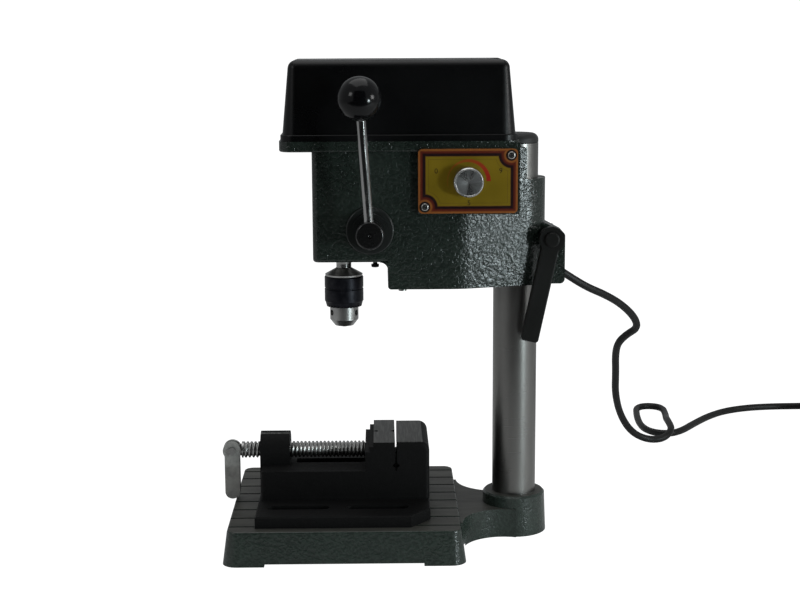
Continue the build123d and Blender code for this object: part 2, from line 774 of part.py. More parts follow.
def involute_outline():
    """Outline of the pinion, each flank drawn by the involute of its base circle."""
    base = pinion_r * cos(radians(pressure_angle))
    tip = pinion_r + module
    root = pinion_r - 1.25 * module
    inv_pitch = tan(radians(pressure_angle)) - radians(pressure_angle)
    half = pi / (2 * pinion_teeth) - tooth_backlash / (2 * pinion_r)
    flank = []
    steps = 5
    for k in range(steps + 1):
        r = base + (tip - base) * k / steps
        roll = sqrt(max((r / base) ** 2 - 1, 0))
        flank.append((r, half + inv_pitch - (roll - atan2(roll, 1))))
    points = []
    for tooth in range(pinion_teeth):
        centre = pi + 2 * pi * tooth / pinion_teeth
        polar = [(root, -flank[0][1])] + [(r, -a) for r, a in flank]
        polar += [(r, a) for r, a in reversed(flank)] + [(root, flank[0][1])]
        points += [(r * cos(centre + a), r * sin(centre + a)) for r, a in polar]
    return make_face(Polyline(*points, close=True))


def pinion_shaft():
    far = head_half_w + spring_cap_l - 2.5
    near = -head_half_w - collar_t - hub_l + 2
    gear = Plane.XZ * involute_outline()
    gear = Pos(pinion_x, 0, pinion_z) * extrude(gear, pinion_face / 2, both=True)
    shaft = bar_y(pinion_x, pinion_z, near, pinion_face / 2, pinion_shaft_r - 0.5)
    shaft += bar_y(pinion_x, pinion_z, pinion_face / 2, head_half_w, pinion_shaft_r)
    shaft += bar_y(pinion_x, pinion_z, head_half_w, far, 3.5)
    slot = Pos(pinion_x, far, pinion_z) * Box(1.0, 2 * spring_cap_l - 8, 8)
    return gear + shaft - slot


def feed_collar():
    y0 = -head_half_w - collar_t
    disc = bar_y(pinion_x, pinion_z, y0 + collar_step_t, -head_half_w, collar_r)
    disc = fillet(disc.faces().sort_by(Axis.Y)[0].edges(), 0.8)
    disc += bar_y(pinion_x, pinion_z, y0, y0 + collar_step_t, collar_step_r)
    disc += bar_y(pinion_x, pinion_z, -head_half_w, -pinion_face / 2 - 1, pinion_r + module + 0.1)
    return disc - bar_y(pinion_x, pinion_z, y0 - 1, 0, pinion_shaft_r - 0.5 + run_fit)


def hub_frame():
    """Frame on the hub's axis whose Z runs up the feed rod."""
    y0 = -head_half_w - collar_t - free_gap - hub_l
    return Pos(pinion_x, y0 + rod_inset, pinion_z) * Rot(rod_splay, 0, 0) * Rot(0, -rod_lean, 0)


def feed_hub():
    y1 = -head_half_w - collar_t - free_gap
    hub = bar_y(pinion_x, pinion_z, y1 - hub_l, y1, hub_r)
    hub = fillet(hub.faces().sort_by(Axis.Y)[0].edges(), 1.2)
    hub -= bar_y(pinion_x, pinion_z, y1 - hub_l + 2.4, y1 + 1, pinion_shaft_r - 0.5)
    hub -= Pos(pinion_x, y1 - hub_l, pinion_z) * Sphere(1.6)
    hub -= hub_frame() * Pos(0, 0, 10) * Cylinder(rod_r, 9)
    hub -= post_at_hub(hub_r - 3.2, hub_r + 1, 1.5)
    return hub


def post_at_hub(z0, z1, r):
    """Small upright cylinder near the hub's inner end, for its grub screw."""
    y = -head_half_w - collar_t - free_gap - 5
    return Pos(pinion_x, y, pinion_z + (z0 + z1) / 2) * Cylinder(r, z1 - z0)


def hub_set_screw():
    screw = post_at_hub(pinion_shaft_r - 0.5, hub_r - 0.4, 1.5)
    y = -head_half_w - collar_t - free_gap - 5
    hex_hole = extrude(RegularPolygon(0.8, 6), 1.5, both=True)
    return screw - Pos(pinion_x, y, pinion_z + hub_r - 0.4) * hex_hole


def feed_rod():
    z0 = pinion_shaft_r + 0.4
    z1 = rod_l - 3
    rod = Pos(0, 0, (z0 + z1) / 2) * Cylinder(rod_r, z1 - z0)
    return hub_frame() * rod


def ball_knob():
    ball = Sphere(ball_r)
    ball -= Pos(0, 0, -ball_r - 10 + 0.9) * Box(40, 40, 20)
    ball -= Pos(0, 0, -3 - 10) * Cylinder(rod_r, 20)
    return hub_frame() * Pos(0, 0, rod_l) * ball


def spring_cap():
    y1 = head_half_w + spring_cap_l
    cup = bar_y(pinion_x, pinion_z, head_half_w, y1, spring_cap_r)
    cup = fillet(cup.faces().sort_by(Axis.Y)[-1].edges(), 1.5)
    return cup - bar_y(pinion_x, pinion_z, head_half_w - 1, y1 - spring_cap_wall,
                       spring_cap_r - spring_cap_wall)


def return_spring():
    """Flat clock spring between the pinion shaft and the cap."""
    inner = spring_hub_r
    outer = spring_cap_r - spring_cap_wall - 0.8
    step = (outer - inner) / spring_turns
    y0 = head_half_w + 1.2
    y1 = head_half_w + spring_cap_l - 3.6
    spring = None
    for k in range(spring_turns):
        r = inner + step * (k + 0.5)
        hoop = bar_y(pinion_x, pinion_z, y0, y1, r + spring_band / 2)
        hoop -= bar_y(pinion_x, pinion_z, y0 - 1, y1 + 1, r - spring_band / 2)
        if k < spring_turns - 1:
            hoop += block(pinion_x + r, pinion_x + r + step, y0, y1, pinion_z, pinion_z + spring_band)
        spring = hoop if spring is None else spring + hoop
    return spring


def limit_screw():
    x = pinion_x + 3
    shank = post(x, 0, nose_bottom - 5.4, nose_bottom + 7, 1.4)
    head = post(x, 0, nose_bottom - 7.4, nose_bottom - 5.4, 2.5)
    return shank + fillet(head.faces().sort_by(Axis.Z)[0].edges(), 0.8)


# ---- chuck --------------------------------------------------------------

def jaw_frame(k):
    """Frame at a jaw's tip: Z runs up the jaw, which leans away from the axis."""
    return Pos(spindle_x, 0, jaw_tip_z) * Rot(0, 0, 120 * k + 30) * Rot(0, jaw_angle, 0)


def chuck_body():
    profile = [(0, chuck_nose_bottom), (chuck_nose_flat_r, chuck_nose_bottom),
               (chuck_nose_r, chuck_nose_bottom + chuck_nose_bevel),
               (chuck_nose_r, chuck_ring_bottom + 0.3),
               (chuck_nose_r - 0.6, chuck_ring_bottom + 0.8),
               (chuck_nose_r - 0.6, chuck_shoulder - 1.5), (chuck_sleeve_r - 0.6, chuck_shoulder - 1.0),
               (chuck_sleeve_r - 0.4, chuck_shoulder), (neck_r, chuck_top), (0, chuck_top)]
    body = turned(spindle_x, profile)
    taper = turned(spindle_x, [(0, chuck_top - 13), (3.2, chuck_top - 13), (3.8, chuck_top),
                               (0, chuck_top)])
    body -= taper
    for k in range(3):
        body -= jaw_frame(k) * Pos(0, 0, jaw_l / 2 + jaw_travel / 2) * Cylinder(
            jaw_r + run_fit, jaw_l + jaw_travel + 8)
    for k in range(3):
        turn = Pos(spindle_x, 0, key_hole_z) * Rot(0, 0, 120 * k - 30) * Rot(0, 90, 0)
        body -= turn * Pos(0, 0, chuck_nose_r) * Cylinder(key_hole_r, 5)
    body -= post(spindle_x, 0, chuck_nose_bottom - 1, chuck_nose_bottom + 7, 2.2)
    return body


def chuck_sleeve():
    r = chuck_sleeve_r
    inner = chuck_nose_r - 0.6 + 0.05
    profile = [(inner, chuck_ring_bottom + 0.9), (chuck_nose_r + 0.5, chuck_ring_bottom),
               (r - 1.2, chuck_ring_bottom), (r - 0.4, chuck_sleeve_bottom), (r, chuck_sleeve_bottom + 0.4),
               (r, chuck_shoulder - 9.6), (r - 0.5, chuck_shoulder - 9.3), (r - 0.5, chuck_shoulder - 8.7),
               (r, chuck_shoulder - 8.4), (r, chuck_shoulder - 1.9), (r - 0.6, chuck_shoulder - 1.2),
               (inner, chuck_shoulder - 1.7)]
    sleeve = turned(spindle_x, profile)
    notch = Pos(r, 0, chuck_ring_bottom) * Rot(0, -20, 0) * Box(3.2, 0.9, 3.4)
    for k in range(gear_ring_teeth):
        sleeve -= Pos(spindle_x, 0, 0) * Rot(0, 0, 360 * k / gear_ring_teeth) * notch
    room = ring(spindle_x, chuck_shoulder - 12, chuck_shoulder - 6, inner - 1, r - 1.6)
    return sleeve - room


def chuck_jaw(k):
    """Round jaw leaning in to the axis, ground to a third of a circle at its tip."""
    jaw = jaw_frame(k) * Pos(0, 0, jaw_l / 2) * Cylinder(jaw_r, jaw_l)
    place = Pos(spindle_x, 0, 0) * Rot(0, 0, 120 * k + 30)
    wedge = Polyline((jaw_rest_gap / 2, 0), (30, 30 * tan(radians(60))),
                     (30, -30 * tan(radians(60))), close=True)
    grip = slab(make_face(wedge), jaw_tip_z - 1, jaw_tip_z + jaw_l + 4)
    jaw = jaw & (place * grip)
    return jaw & block(spindle_x - 20, spindle_x + 20, -20, 20, jaw_tip_z, jaw_tip_z + jaw_l + 4)


# ---- vise ---------------------------------------------------------------

def vise_plan():
    """Foot of the vise, its corners cut off beside the fixed jaw."""
    w = vise_base_half_w
    points = [(vise_x0, -w), (vise_x1 - vise_bevel_x, -w), (vise_x1, -w + vise_bevel_y),
              (vise_x1, w - vise_bevel_y), (vise_x1 - vise_bevel_x, w), (vise_x0, w)]
    return make_face(Polyline(*points, close=True))


def vise_body():
    foot = slab(vise_plan(), vise_z, vise_z + vise_base_t)
    foot = chamfer(foot.faces().sort_by(Axis.Z)[-1].edges(), 0.8)
    bed = block(vise_x0 + 1.5, vise_x1, -vise_half_w, vise_half_w, vise_z, bed_top)
    bed = fillet(bed.edges().filter_by(Axis.Z), 2.5)
    jaw = block(jaw_face_x, vise_x1, -vise_half_w, vise_half_w, vise_z + 2, jaw_top)
    top_rear = jaw.faces().sort_by(Axis.Z)[-1].edges().sort_by(Axis.X)[-1:]
    jaw = fillet(top_rear, vise_x1 - jaw_face_x - fixed_jaw_l)
    jaw = fillet(jaw.edges().filter_by(Axis.Z).sort_by(Axis.X)[-2:], 2.5)
    barrel = bar_x(0, vise_screw_z, vise_x0, vise_x0 + nut_l, nut_r)
    cheek = block(vise_x0, vise_x0 + nut_l, -nut_r, nut_r, vise_z + 2, vise_screw_z)
    body = foot + bed + jaw + barrel + cheek
    way_x0 = vise_x0 + nut_l
    floor_z = vise_z + vise_recess
    body -= block(way_x0, jaw_face_x, -way_half_w, way_half_w, bed_top - 0.6, bed_top + 1)
    body -= block(way_x0 + 4, jaw_face_x - 3, -way_slot_half_w, way_slot_half_w, vise_z - 1, bed_top + 1)
    body -= block(vise_x0 + 8, vise_x1 - 8, -way_half_w, way_half_w, vise_z - 1, floor_z)
    body -= bar_x(0, vise_screw_z, vise_x0 - 1, way_x0 + 1, vise_screw_r + thread_gap)
    body -= v_groove(jaw_face_x)
    for x in (slot_1_cx, slot_2_cx):
        for side in (-1, 1):
            slot = slab(SlotOverall(slot_l, slot_w), vise_z - 1, vise_z + vise_base_t + 1)
            body -= Pos(x, side * slot_y, 0) * slot
    return body


def v_groove(x):
    """Level groove across a jaw's face, for round stock."""
    z = bed_top + 3.5
    shape = Rot(0, 45, 0) * Box(2.4, 2 * vise_half_w + 2, 2.4)
    return Pos(x, 0, z) * shape


def moving_jaw():
    steps = [(moving_face_x - 13.6, jaw_top), (moving_face_x - 16.2, jaw_top - 2.9),
             (moving_back_x, jaw_top - 6.4)]
    z0 = bed_top - 0.6 + 0.02
    jaw = None
    for x, z in steps:
        layer = block(x, moving_face_x, -vise_half_w, vise_half_w, bed_top + 0.02, z)
        jaw = layer if jaw is None else jaw + layer
    jaw += block(moving_back_x, moving_face_x, -way_half_w + 0.1, way_half_w - 0.1, z0, bed_top + 2)
    half = way_slot_half_w - 0.1
    z_low = vise_z + vise_recess - slide_gap
    tip_r = vise_screw_r - vise_tip_cut + thread_gap
    jaw += block(moving_back_x + 3, moving_face_x - 5, -half, half, z_low, bed_top)
    jaw -= bar_x(0, vise_screw_z, moving_back_x - 1, moving_back_x + 11, tip_r)
    jaw -= v_groove(moving_face_x)
    mid_v = Pos(moving_face_x, 0, (bed_top + jaw_top) / 2) * Rot(0, 0, 45) * Box(4, 4, 30)
    jaw -= mid_v & block(moving_face_x - 4, moving_face_x + 4, -4, 4, bed_top + 1, jaw_top + 1)
    for x in keeper_screw_places():
        jaw -= post(x, 0, z_low - 1, z_low + 9, 1.25)
    jaw -= post(moving_back_x + 7, 0, jaw_top - 12, jaw_top + 1, 1.5)
    return jaw


def keeper_screw_places():
    return [moving_back_x + 6.5, moving_face_x - 8]


def vise_keeper():
    """Plate under the bed that keeps the moving jaw down."""
    z1 = vise_z + vise_recess - slide_gap
    plate = block(moving_back_x + 2, moving_face_x - 3, -way_half_w + 1, way_half_w - 1, z1 - 3, z1)
    for x in keeper_screw_places():
        plate -= post(x, 0, z1 - 4, z1 + 1, 1.6)
    return plate


def keeper_screws():
    z1 = vise_z + vise_recess - slide_gap
    group = []
    for x in keeper_screw_places():
        screw = post(x, 0, z1 - 3, z1 + 7, 1.25)
        head = post(x, 0, z1 - 4.8, z1 - 3, 2.6)
        group.append(screw + head - Pos(x, 0, z1 - 4.8) * Box(6, 0.7, 1.4))
    return Compound(group)


def screw_retainer():
    """Grub screw whose tip runs in the vise screw's end groove."""
    x = moving_back_x + 7
    return post(x, 0, vise_screw_z + vise_screw_r - vise_tip_cut + thread_gap + 0.1, jaw_top - 3, 1.5)


def vise_screw():
    tip_r = vise_screw_r - vise_tip_cut
    screw = bar_x(0, vise_screw_z, vise_screw_end, moving_back_x - free_gap, vise_screw_r)
    screw += bar_x(0, vise_screw_z, moving_back_x - 1, moving_back_x + 10, tip_r)
    groove = moving_back_x + 7
    screw -= bar_x(0, vise_screw_z, groove - 1.6, groove + 1.6, tip_r + 1) - bar_x(
        0, vise_screw_z, groove - 3, groove + 3, tip_r - 1)
    tongue = handle_t / 2 - 1.7
    eye = bar_y(eye_x, vise_screw_z, -tongue, tongue, eye_r - 1)
    eye += block(eye_x, vise_screw_end + 0.5, -tongue, tongue, vise_screw_z - 3.6, vise_screw_z + 3.6)
    eye += bar_x(0, vise_screw_z, eye_x + eye_r + 0.6, vise_screw_end + 0.5, vise_screw_r)
    eye -= bar_y(eye_x, vise_screw_z, -6, 6, handle_pin_r)
    return screw + eye


def handle_pin():
    half = handle_t / 2 + 1.0
    pin = bar_y(eye_x, vise_screw_z, -half, half, handle_pin_r)
    for side in (-1, 1):
        pin += bar_y(eye_x, vise_screw_z, side * (half + 0.5) - 0.5, side * (half + 0.5) + 0.5, 2.6)
    return pin


def vise_handle():
    """Folding crank that hangs from the screw's eye on its pin."""
    half = handle_t / 2 + 0.7
    z1 = vise_screw_z
    arm = Pos(0, 0, -handle_l / 2) * Box(handle_w, 2 * half, handle_l)
    arm = fillet(arm.edges().filter_by(Axis.Y).sort_by(Axis.Z)[:2], handle_w / 2 - 0.1)
    arm = Pos(eye_x, 0, z1) * arm
    arm += bar_y(eye_x, z1, -half, half, eye_r)
    gap = handle_t / 2 - 1.7 + free_gap / 2
    arm -= block(eye_x - 12, eye_x + 12, -gap, gap, z1 - eye_r - 3.0, z1 + eye_r + 1)
    return arm - bar_y(eye_x, z1, -half - 1, half + 1, handle_pin_r + run_fit)


# ---- cord ---------------------------------------------------------------

cord_route = [
    (-19.42, 56.5, 180.0),
    (-14.6, 72.7, 180.0),
    (-3.5, 86.0, 177.5),
    (13.5, 92.0, 171.5),
    (30.0, 93.0, 162.5),
    (44.5, 95.0, 152.5),
    (59.0, 99.5, 143.0),
    (73.5, 107.0, 136.0),
    (86.5, 116.0, 127.5),
    (97.5, 125.0, 116.5),
    (101.5, 132.5, 107.0),
    (94.5, 138.5, 101.0),
    (89.0, 145.0, 93.5),
    (88.5, 153.5, 83.0),
    (90.5, 163.0, 67.0),
    (92.0, 174.5, 48.0),
    (98.0, 186.5, 28.0),
    (108.5, 196.5, 11.5),
    (122.0, 201.0, 4.0),
    (135.0, 201.0, 4.6),
    (143.5, 211.0, 9.5),
    (144.0, 232.0, 10.8),
    (146.0, 252.0, 8.0),
    (149.5, 272.0, 4.0),
    (152.0, 290.0, 2.75),
    (153.0, 306.5, 2.75),
    (147.5, 315.0, 2.75),
    (138.0, 316.0, 2.75),
    (131.0, 309.0, 2.75),
    (128.5, 295.0, 2.75),
    (126.0, 273.0, 2.75),
    (125.0, 251.0, 2.75),
    (127.5, 235.0, 2.75),
    (135.0, 225.0, 2.75),
    (146.0, 224.5, 2.75),
    (156.0, 234.0, 2.75),
    (169.0, 254.5, 2.75),
    (186.0, 279.0, 2.75),
    (204.0, 297.0, 2.75),
    (226.0, 307.5, 2.75),
    (248.0, 311.0, 2.75),
    (269.0, 310.5, 3.0),
    (288.5, 308.75, 3.6),
]


def cord_radii():
    """Arc radius at each inner point: 0.45 of the shorter run over tan(half the turn)."""
    points = [Vector(*p) for p in cord_route]
    radii = []
    for a, b, c in zip(points, points[1:], points[2:]):
        turn = (b - a).get_angle(c - b)
        shorter = min((b - a).length, (c - b).length)
        radii.append(0.45 * shorter / tan(radians(turn / 2)))
    return radii


def power_cord():
    radii = cord_radii()
    print("cord radii", [round(r, 1) for r in radii])
    path = FilletPolyline(*cord_route, radius=radii)
    start = Plane(origin=path @ 0, z_dir=path % 0)
    tube = sweep(start * Circle(cord_r), path=path)
    print("cord tube", round(path.length, 1), "mm, volume", round(tube.volume, 0),
          "section x length", round(pi * cord_r ** 2 * path.length, 0))
    return tube


def cord_coil():
    """Outer shape of the neat coil of unused cord, on the tie's lower strap."""
    plan = Circle(coil_mid_r + coil_band / 2) - Circle(coil_mid_r - coil_band / 2)
    body = slab(plan, tie_t, tie_t + coil_h)
    return Pos(coil_cx, coil_cy, 0) * fillet(body.edges(), cord_r)


def coil_tie():
    """Strap round the coil's section, on the side towards +Y."""
    outer = Box(tie_w, coil_band + 2 * tie_t + 1.0, coil_h + 2 * tie_t + 0.2)
    inner = Box(tie_w + 2, coil_band + 1.0, coil_h + 0.2)
    strap = fillet(outer.edges().filter_by(Axis.X), 1.5) - inner
    return Pos(coil_cx, coil_cy - coil_mid_r, (coil_h + 2 * tie_t + 0.2) / 2) * strap


def strain_relief():
    boot = Cone(boot_r0, boot_r1, boot_l, align=(Align.CENTER, Align.CENTER, Align.MIN))
    for k in range(5):
        z = 6 + 4.5 * k
        boot -= Pos(0, 0, z) * (Cylinder(9, 1.2) - Cylinder(cord_r + 0.6, 1.2))
    boot += Pos(0, 0, 1.25) * Cylinder(boot_r0 + 1.5, 2.5)
    boot += Pos(0, 0, -1.4) * Cylinder(boot_r0 - 1.6, 2.8)
    return gland_place() * boot


def plug_place():
    """Frame at the plug's tail: the plug lies beside the coil, its pins towards -Y."""
    away = coil_mid_r + coil_band / 2 - cord_r
    drop = sqrt((coil_mid_r + coil_band / 2) ** 2 - (away - boot_r1 / 2) ** 2)
    return Pos(coil_cx + away, coil_cy - drop, plug_t / 2) * Rot(90, 0, 0)


def plug_body():
    tail = Cone(boot_r1, plug_t / 2 - 1.5, plug_tail, align=(Align.CENTER, Align.CENTER, Align.MIN))
    body = fillet(Box(plug_w, plug_t, plug_l).edges().filter_by(Axis.Z), plug_t / 2 - 0.6)
    body = fillet(body.faces().sort_by(Axis.Z)[0].edges(), 2.5)
    body = Pos(0, 0, plug_tail + plug_l / 2) * body
    for x in (-pin_pitch / 2, pin_pitch / 2):
        body -= Pos(x, 0, plug_tail + plug_l) * Cylinder(pin_r, 10)
    return plug_place() * (tail + body)


def plug_pins():
    pins = []
    for x in (-pin_pitch / 2, pin_pitch / 2):
        pin = Pos(x, 0, plug_tail + plug_l - 5 + (pin_l + 5) / 2) * Cylinder(pin_r, pin_l + 5)
        pins.append(plug_place() * fillet(pin.faces().sort_by(Axis.Z)[-1].edges(), 1.2))
    return Compound(pins)


SUBPARTS = {
    "base_plate": base_plate,
    "column_set_screw": column_set_screw,
    "column": column,
    "column_cap": column_cap,
    "head_casting": head_casting,
    "bottom_plate": bottom_plate,
    "bottom_screws": bottom_screws,
    "clamp_bolt": clamp_bolt,
    "clamp_lever": clamp_lever,
    "clamp_lever_cap": clamp_lever_cap,
    "motor_case": motor_case,
    "motor_end_cap": motor_end_cap,
    "motor_shaft": motor_shaft,
    "motor_screws": motor_screws,
    "motor_pulley": motor_pulley,
    "spindle_pulley": spindle_pulley,
    "pulley_bearings": pulley_bearings,
    "drive_belt": drive_belt,
    "belt_cover": belt_cover,
    "speed_panel": speed_panel,
    "panel_screws": panel_screws,
    "potentiometer": potentiometer,
    "pot_nut": pot_nut,
    "pot_shaft": pot_shaft,
    "speed_knob": speed_knob,
    "circuit_board": circuit_board,
    "quill": quill,
    "quill_bearings": quill_bearings,
    "spindle": spindle,
    "spindle_circlip": spindle_circlip,
    "pinion_shaft": pinion_shaft,
    "feed_collar": feed_collar,
    "feed_hub": feed_hub,
    "hub_set_screw": hub_set_screw,
    "feed_rod": feed_rod,
    "ball_knob": ball_knob,
    "spring_cap": spring_cap,
    "return_spring": return_spring,
    "limit_screw": limit_screw,
    "chuck_body": chuck_body,
    "chuck_sleeve": chuck_sleeve,
    "vise_body": vise_body,
    "moving_jaw": moving_jaw,
    "vise_keeper": vise_keeper,
    "keeper_screws": keeper_screws,
    "screw_retainer": screw_retainer,
    "vise_screw": vise_screw,
    "handle_pin": handle_pin,
    "vise_handle": vise_handle,
    "strain_relief": strain_relief,
    "power_cord": power_cord,
    "cord_coil": cord_coil,
    "coil_tie": coil_tie,
    "plug_body": plug_body,
    "plug_pins": plug_pins,
}

for node, make in SUBPARTS.items():
    save(make(), node)
for k in range(3):
    save(chuck_jaw(k), "chuck_jaw_" + str(k + 1))
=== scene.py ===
"""Small bench drill press with a bench vise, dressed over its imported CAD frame."""
from math import cos, pi, radians, sin

import bmesh
import bpy
from mathutils import Matrix, Vector


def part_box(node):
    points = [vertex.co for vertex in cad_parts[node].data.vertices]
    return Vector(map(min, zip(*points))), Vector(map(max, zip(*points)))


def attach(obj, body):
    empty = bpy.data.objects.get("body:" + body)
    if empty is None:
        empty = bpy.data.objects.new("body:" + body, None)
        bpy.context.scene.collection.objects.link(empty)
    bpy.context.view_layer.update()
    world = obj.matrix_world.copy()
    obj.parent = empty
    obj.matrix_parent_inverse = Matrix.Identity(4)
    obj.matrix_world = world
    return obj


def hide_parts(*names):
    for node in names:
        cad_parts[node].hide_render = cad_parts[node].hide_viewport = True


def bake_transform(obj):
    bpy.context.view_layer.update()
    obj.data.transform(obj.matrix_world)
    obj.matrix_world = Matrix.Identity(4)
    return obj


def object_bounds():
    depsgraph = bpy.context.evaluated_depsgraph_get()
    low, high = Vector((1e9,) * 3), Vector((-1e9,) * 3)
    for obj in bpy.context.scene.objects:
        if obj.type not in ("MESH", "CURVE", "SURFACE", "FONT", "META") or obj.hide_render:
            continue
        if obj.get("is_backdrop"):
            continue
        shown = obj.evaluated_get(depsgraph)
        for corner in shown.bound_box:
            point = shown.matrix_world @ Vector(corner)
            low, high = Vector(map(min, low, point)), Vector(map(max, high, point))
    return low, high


bl_info = {
    "name": "Bench drill press",
    "version": (1, 0, 0),
    "blender": (4, 5, 0),
    "location": "View3D > Sidebar > Drill press",
    "description": "Dresses the packed frame of a bench drill press: finishes, thread, knob, cord and stage",
    "category": "Object",
}

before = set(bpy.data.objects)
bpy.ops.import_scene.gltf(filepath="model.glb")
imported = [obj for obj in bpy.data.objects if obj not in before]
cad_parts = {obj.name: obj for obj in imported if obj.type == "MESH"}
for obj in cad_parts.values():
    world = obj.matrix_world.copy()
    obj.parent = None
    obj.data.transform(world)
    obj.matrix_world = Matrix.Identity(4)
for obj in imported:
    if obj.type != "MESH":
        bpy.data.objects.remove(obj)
MM = 0.001


def middle(node):
    low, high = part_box(node)
    return (low + high) / 2


# ---- sizes and colours that a user would change --------------------------

class CastingSettings(bpy.types.PropertyGroup):
    paint: bpy.props.FloatVectorProperty(
        name="Paint", description="Hammered enamel on the castings", subtype="COLOR",
        size=3, min=0, max=1, default=(0.020, 0.030, 0.024))
    grain: bpy.props.FloatProperty(
        name="Wrinkle size", description="Distance between the enamel's wrinkles",
        default=1.02 * MM, min=0.2 * MM, unit="LENGTH")
    # The table top's paler colour is partly the top's own wear and partly painted light: the top is made
    # lighter for the light that falls on it from above.
    table: bpy.props.FloatVectorProperty(
        name="Table top", description="Worn enamel on top of the base", subtype="COLOR",
        size=3, min=0, max=1, default=(0.052, 0.052, 0.044))


class CoverSettings(bpy.types.PropertyGroup):
    plastic: bpy.props.FloatVectorProperty(
        name="Plastic", description="Moulded plastic of the belt cover", subtype="COLOR",
        size=3, min=0, max=1, default=(0.0022, 0.0022, 0.0024))


class PanelSettings(bpy.types.PropertyGroup):
    field: bpy.props.FloatVectorProperty(
        name="Field", description="Printed field of the speed panel", subtype="COLOR",
        size=3, min=0, max=1, default=(0.17, 0.115, 0.004))
    band: bpy.props.FloatVectorProperty(
        name="Band", description="Outer printed band of the speed panel", subtype="COLOR",
        size=3, min=0, max=1, default=(0.26, 0.085, 0.018))
    middle: bpy.props.FloatVectorProperty(
        name="Middle", description="Red the band fades into", subtype="COLOR",
        size=3, min=0, max=1, default=(0.10, 0.014, 0.005))
    line: bpy.props.FloatVectorProperty(
        name="Line", description="Dark line inside the band", subtype="COLOR",
        size=3, min=0, max=1, default=(0.009, 0.0015, 0.003))
    collar: bpy.props.FloatProperty(
        name="Screw collar", description="Dark ring round each panel screw, by radius",
        default=3.4 * MM, min=0, unit="LENGTH")
    ribs: bpy.props.IntProperty(
        name="Knob ribs", description="Ribs round the speed knob", default=64, min=12, max=120)
    rib_depth: bpy.props.FloatProperty(
        name="Rib depth", description="How far a rib stands out of the knob",
        default=0.32 * MM, min=0, unit="LENGTH")


class ViseSettings(bpy.types.PropertyGroup):
    pitch: bpy.props.FloatProperty(
        name="Thread pitch", description="Distance between the vise screw's threads",
        default=2.5 * MM, min=0.5 * MM, unit="LENGTH")
    depth: bpy.props.FloatProperty(
        name="Thread depth", description="Depth of the vise screw's thread",
        default=1.15 * MM, min=0.1 * MM, unit="LENGTH")
    bed_top: bpy.props.FloatProperty(
        name="Bed top", description="Height of the milled ways over the floor",
        default=47 * MM, min=0, unit="LENGTH")
    way_half: bpy.props.FloatProperty(
        name="Way half width", description="Half the width of the bare strip along the ways",
        default=7 * MM, min=0, unit="LENGTH")
    casting: bpy.props.FloatVectorProperty(
        name="Casting", description="Black paint of the vise", subtype="COLOR",
        size=3, min=0, max=1, default=(0.0045, 0.0045, 0.0045))


class CordSettings(bpy.types.PropertyGroup):
    radius: bpy.props.FloatProperty(
        name="Radius", description="Radius of the power cord",
        default=2.75 * MM, min=1 * MM, unit="LENGTH")
    length: bpy.props.FloatProperty(
        name="Length", description="Real length of the power cord",
        default=1.74, min=0.5, unit="LENGTH")
    turn_points: bpy.props.IntProperty(
        name="Points a turn", description="Control points in one turn of the coil",
        default=16, min=12, max=32)


class StageSettings(bpy.types.PropertyGroup):
    floor: bpy.props.FloatVectorProperty(
        name="Floor", description="Colour of the floor", subtype="COLOR",
        size=3, min=0, max=1, default=(0.86, 0.86, 0.86))
    eye: bpy.props.FloatVectorProperty(
        name="Camera", description="Place of the camera", subtype="XYZ_LENGTH",
        size=3, default=(-0.08636, -1.00094, 0.32885))
    lens: bpy.props.FloatProperty(
        name="Lens", description="Focal length in millimetres on a 36 mm sensor", default=71.34, min=10)
    heading: bpy.props.FloatProperty(
        name="Heading", description="Turn of the view from +Y towards +X",
        default=radians(0.722), subtype="ANGLE")
    dip: bpy.props.FloatProperty(
        name="Dip", description="How far the view looks down", default=radians(10.014), subtype="ANGLE")
    tilt: bpy.props.FloatProperty(
        name="Tilt", description="Roll of the camera", default=radians(0.278), subtype="ANGLE")


# ---- shader maths ---------------------------------------------------------

class Val:
    """A value socket that stands in a Python expression and adds its Math nodes."""

    def __init__(self, tree, socket):
        self.tree = tree
        self.socket = socket

    def _math(self, operation, *values):
        node = self.tree.nodes.new("ShaderNodeMath")
        node.operation = operation
        for slot, value in zip(node.inputs, values):
            if isinstance(value, Val):
                self.tree.links.new(value.socket, slot)
            else:
                slot.default_value = value
        return Val(self.tree, node.outputs[0])

    def __add__(self, other):
        return self._math("ADD", self, other)

    __radd__ = __add__

    def __sub__(self, other):
        return self._math("SUBTRACT", self, other)

    def __rsub__(self, other):
        return self._math("SUBTRACT", other, self)

    def __mul__(self, other):
        return self._math("MULTIPLY", self, other)

    __rmul__ = __mul__

    def __truediv__(self, other):
        return self._math("DIVIDE", self, other)

    def __abs__(self):
        return self._math("ABSOLUTE", self)

    def over(self, edge):
        return self._math("GREATER_THAN", self, edge)

    def under(self, edge):
        return self._math("LESS_THAN", self, edge)

    def high(self, other):
        return self._math("MAXIMUM", self, other)

    def low(self, other):
        return self._math("MINIMUM", self, other)

    def root(self):
        return self._math("SQRT", self)

    def wave(self):
        return self._math("SINE", self)

    def angle(self, other):
        return self._math("ARCTAN2", self, other)

    def fade(self, start, end):
        """0 before start, 1 after end, smooth between."""
        node = self.tree.nodes.new("ShaderNodeMapRange")
        node.interpolation_type = "SMOOTHSTEP"
        self.tree.links.new(self.socket, node.inputs[0])
        node.inputs[1].default_value = start
        node.inputs[2].default_value = end
        return Val(self.tree, node.outputs[0])


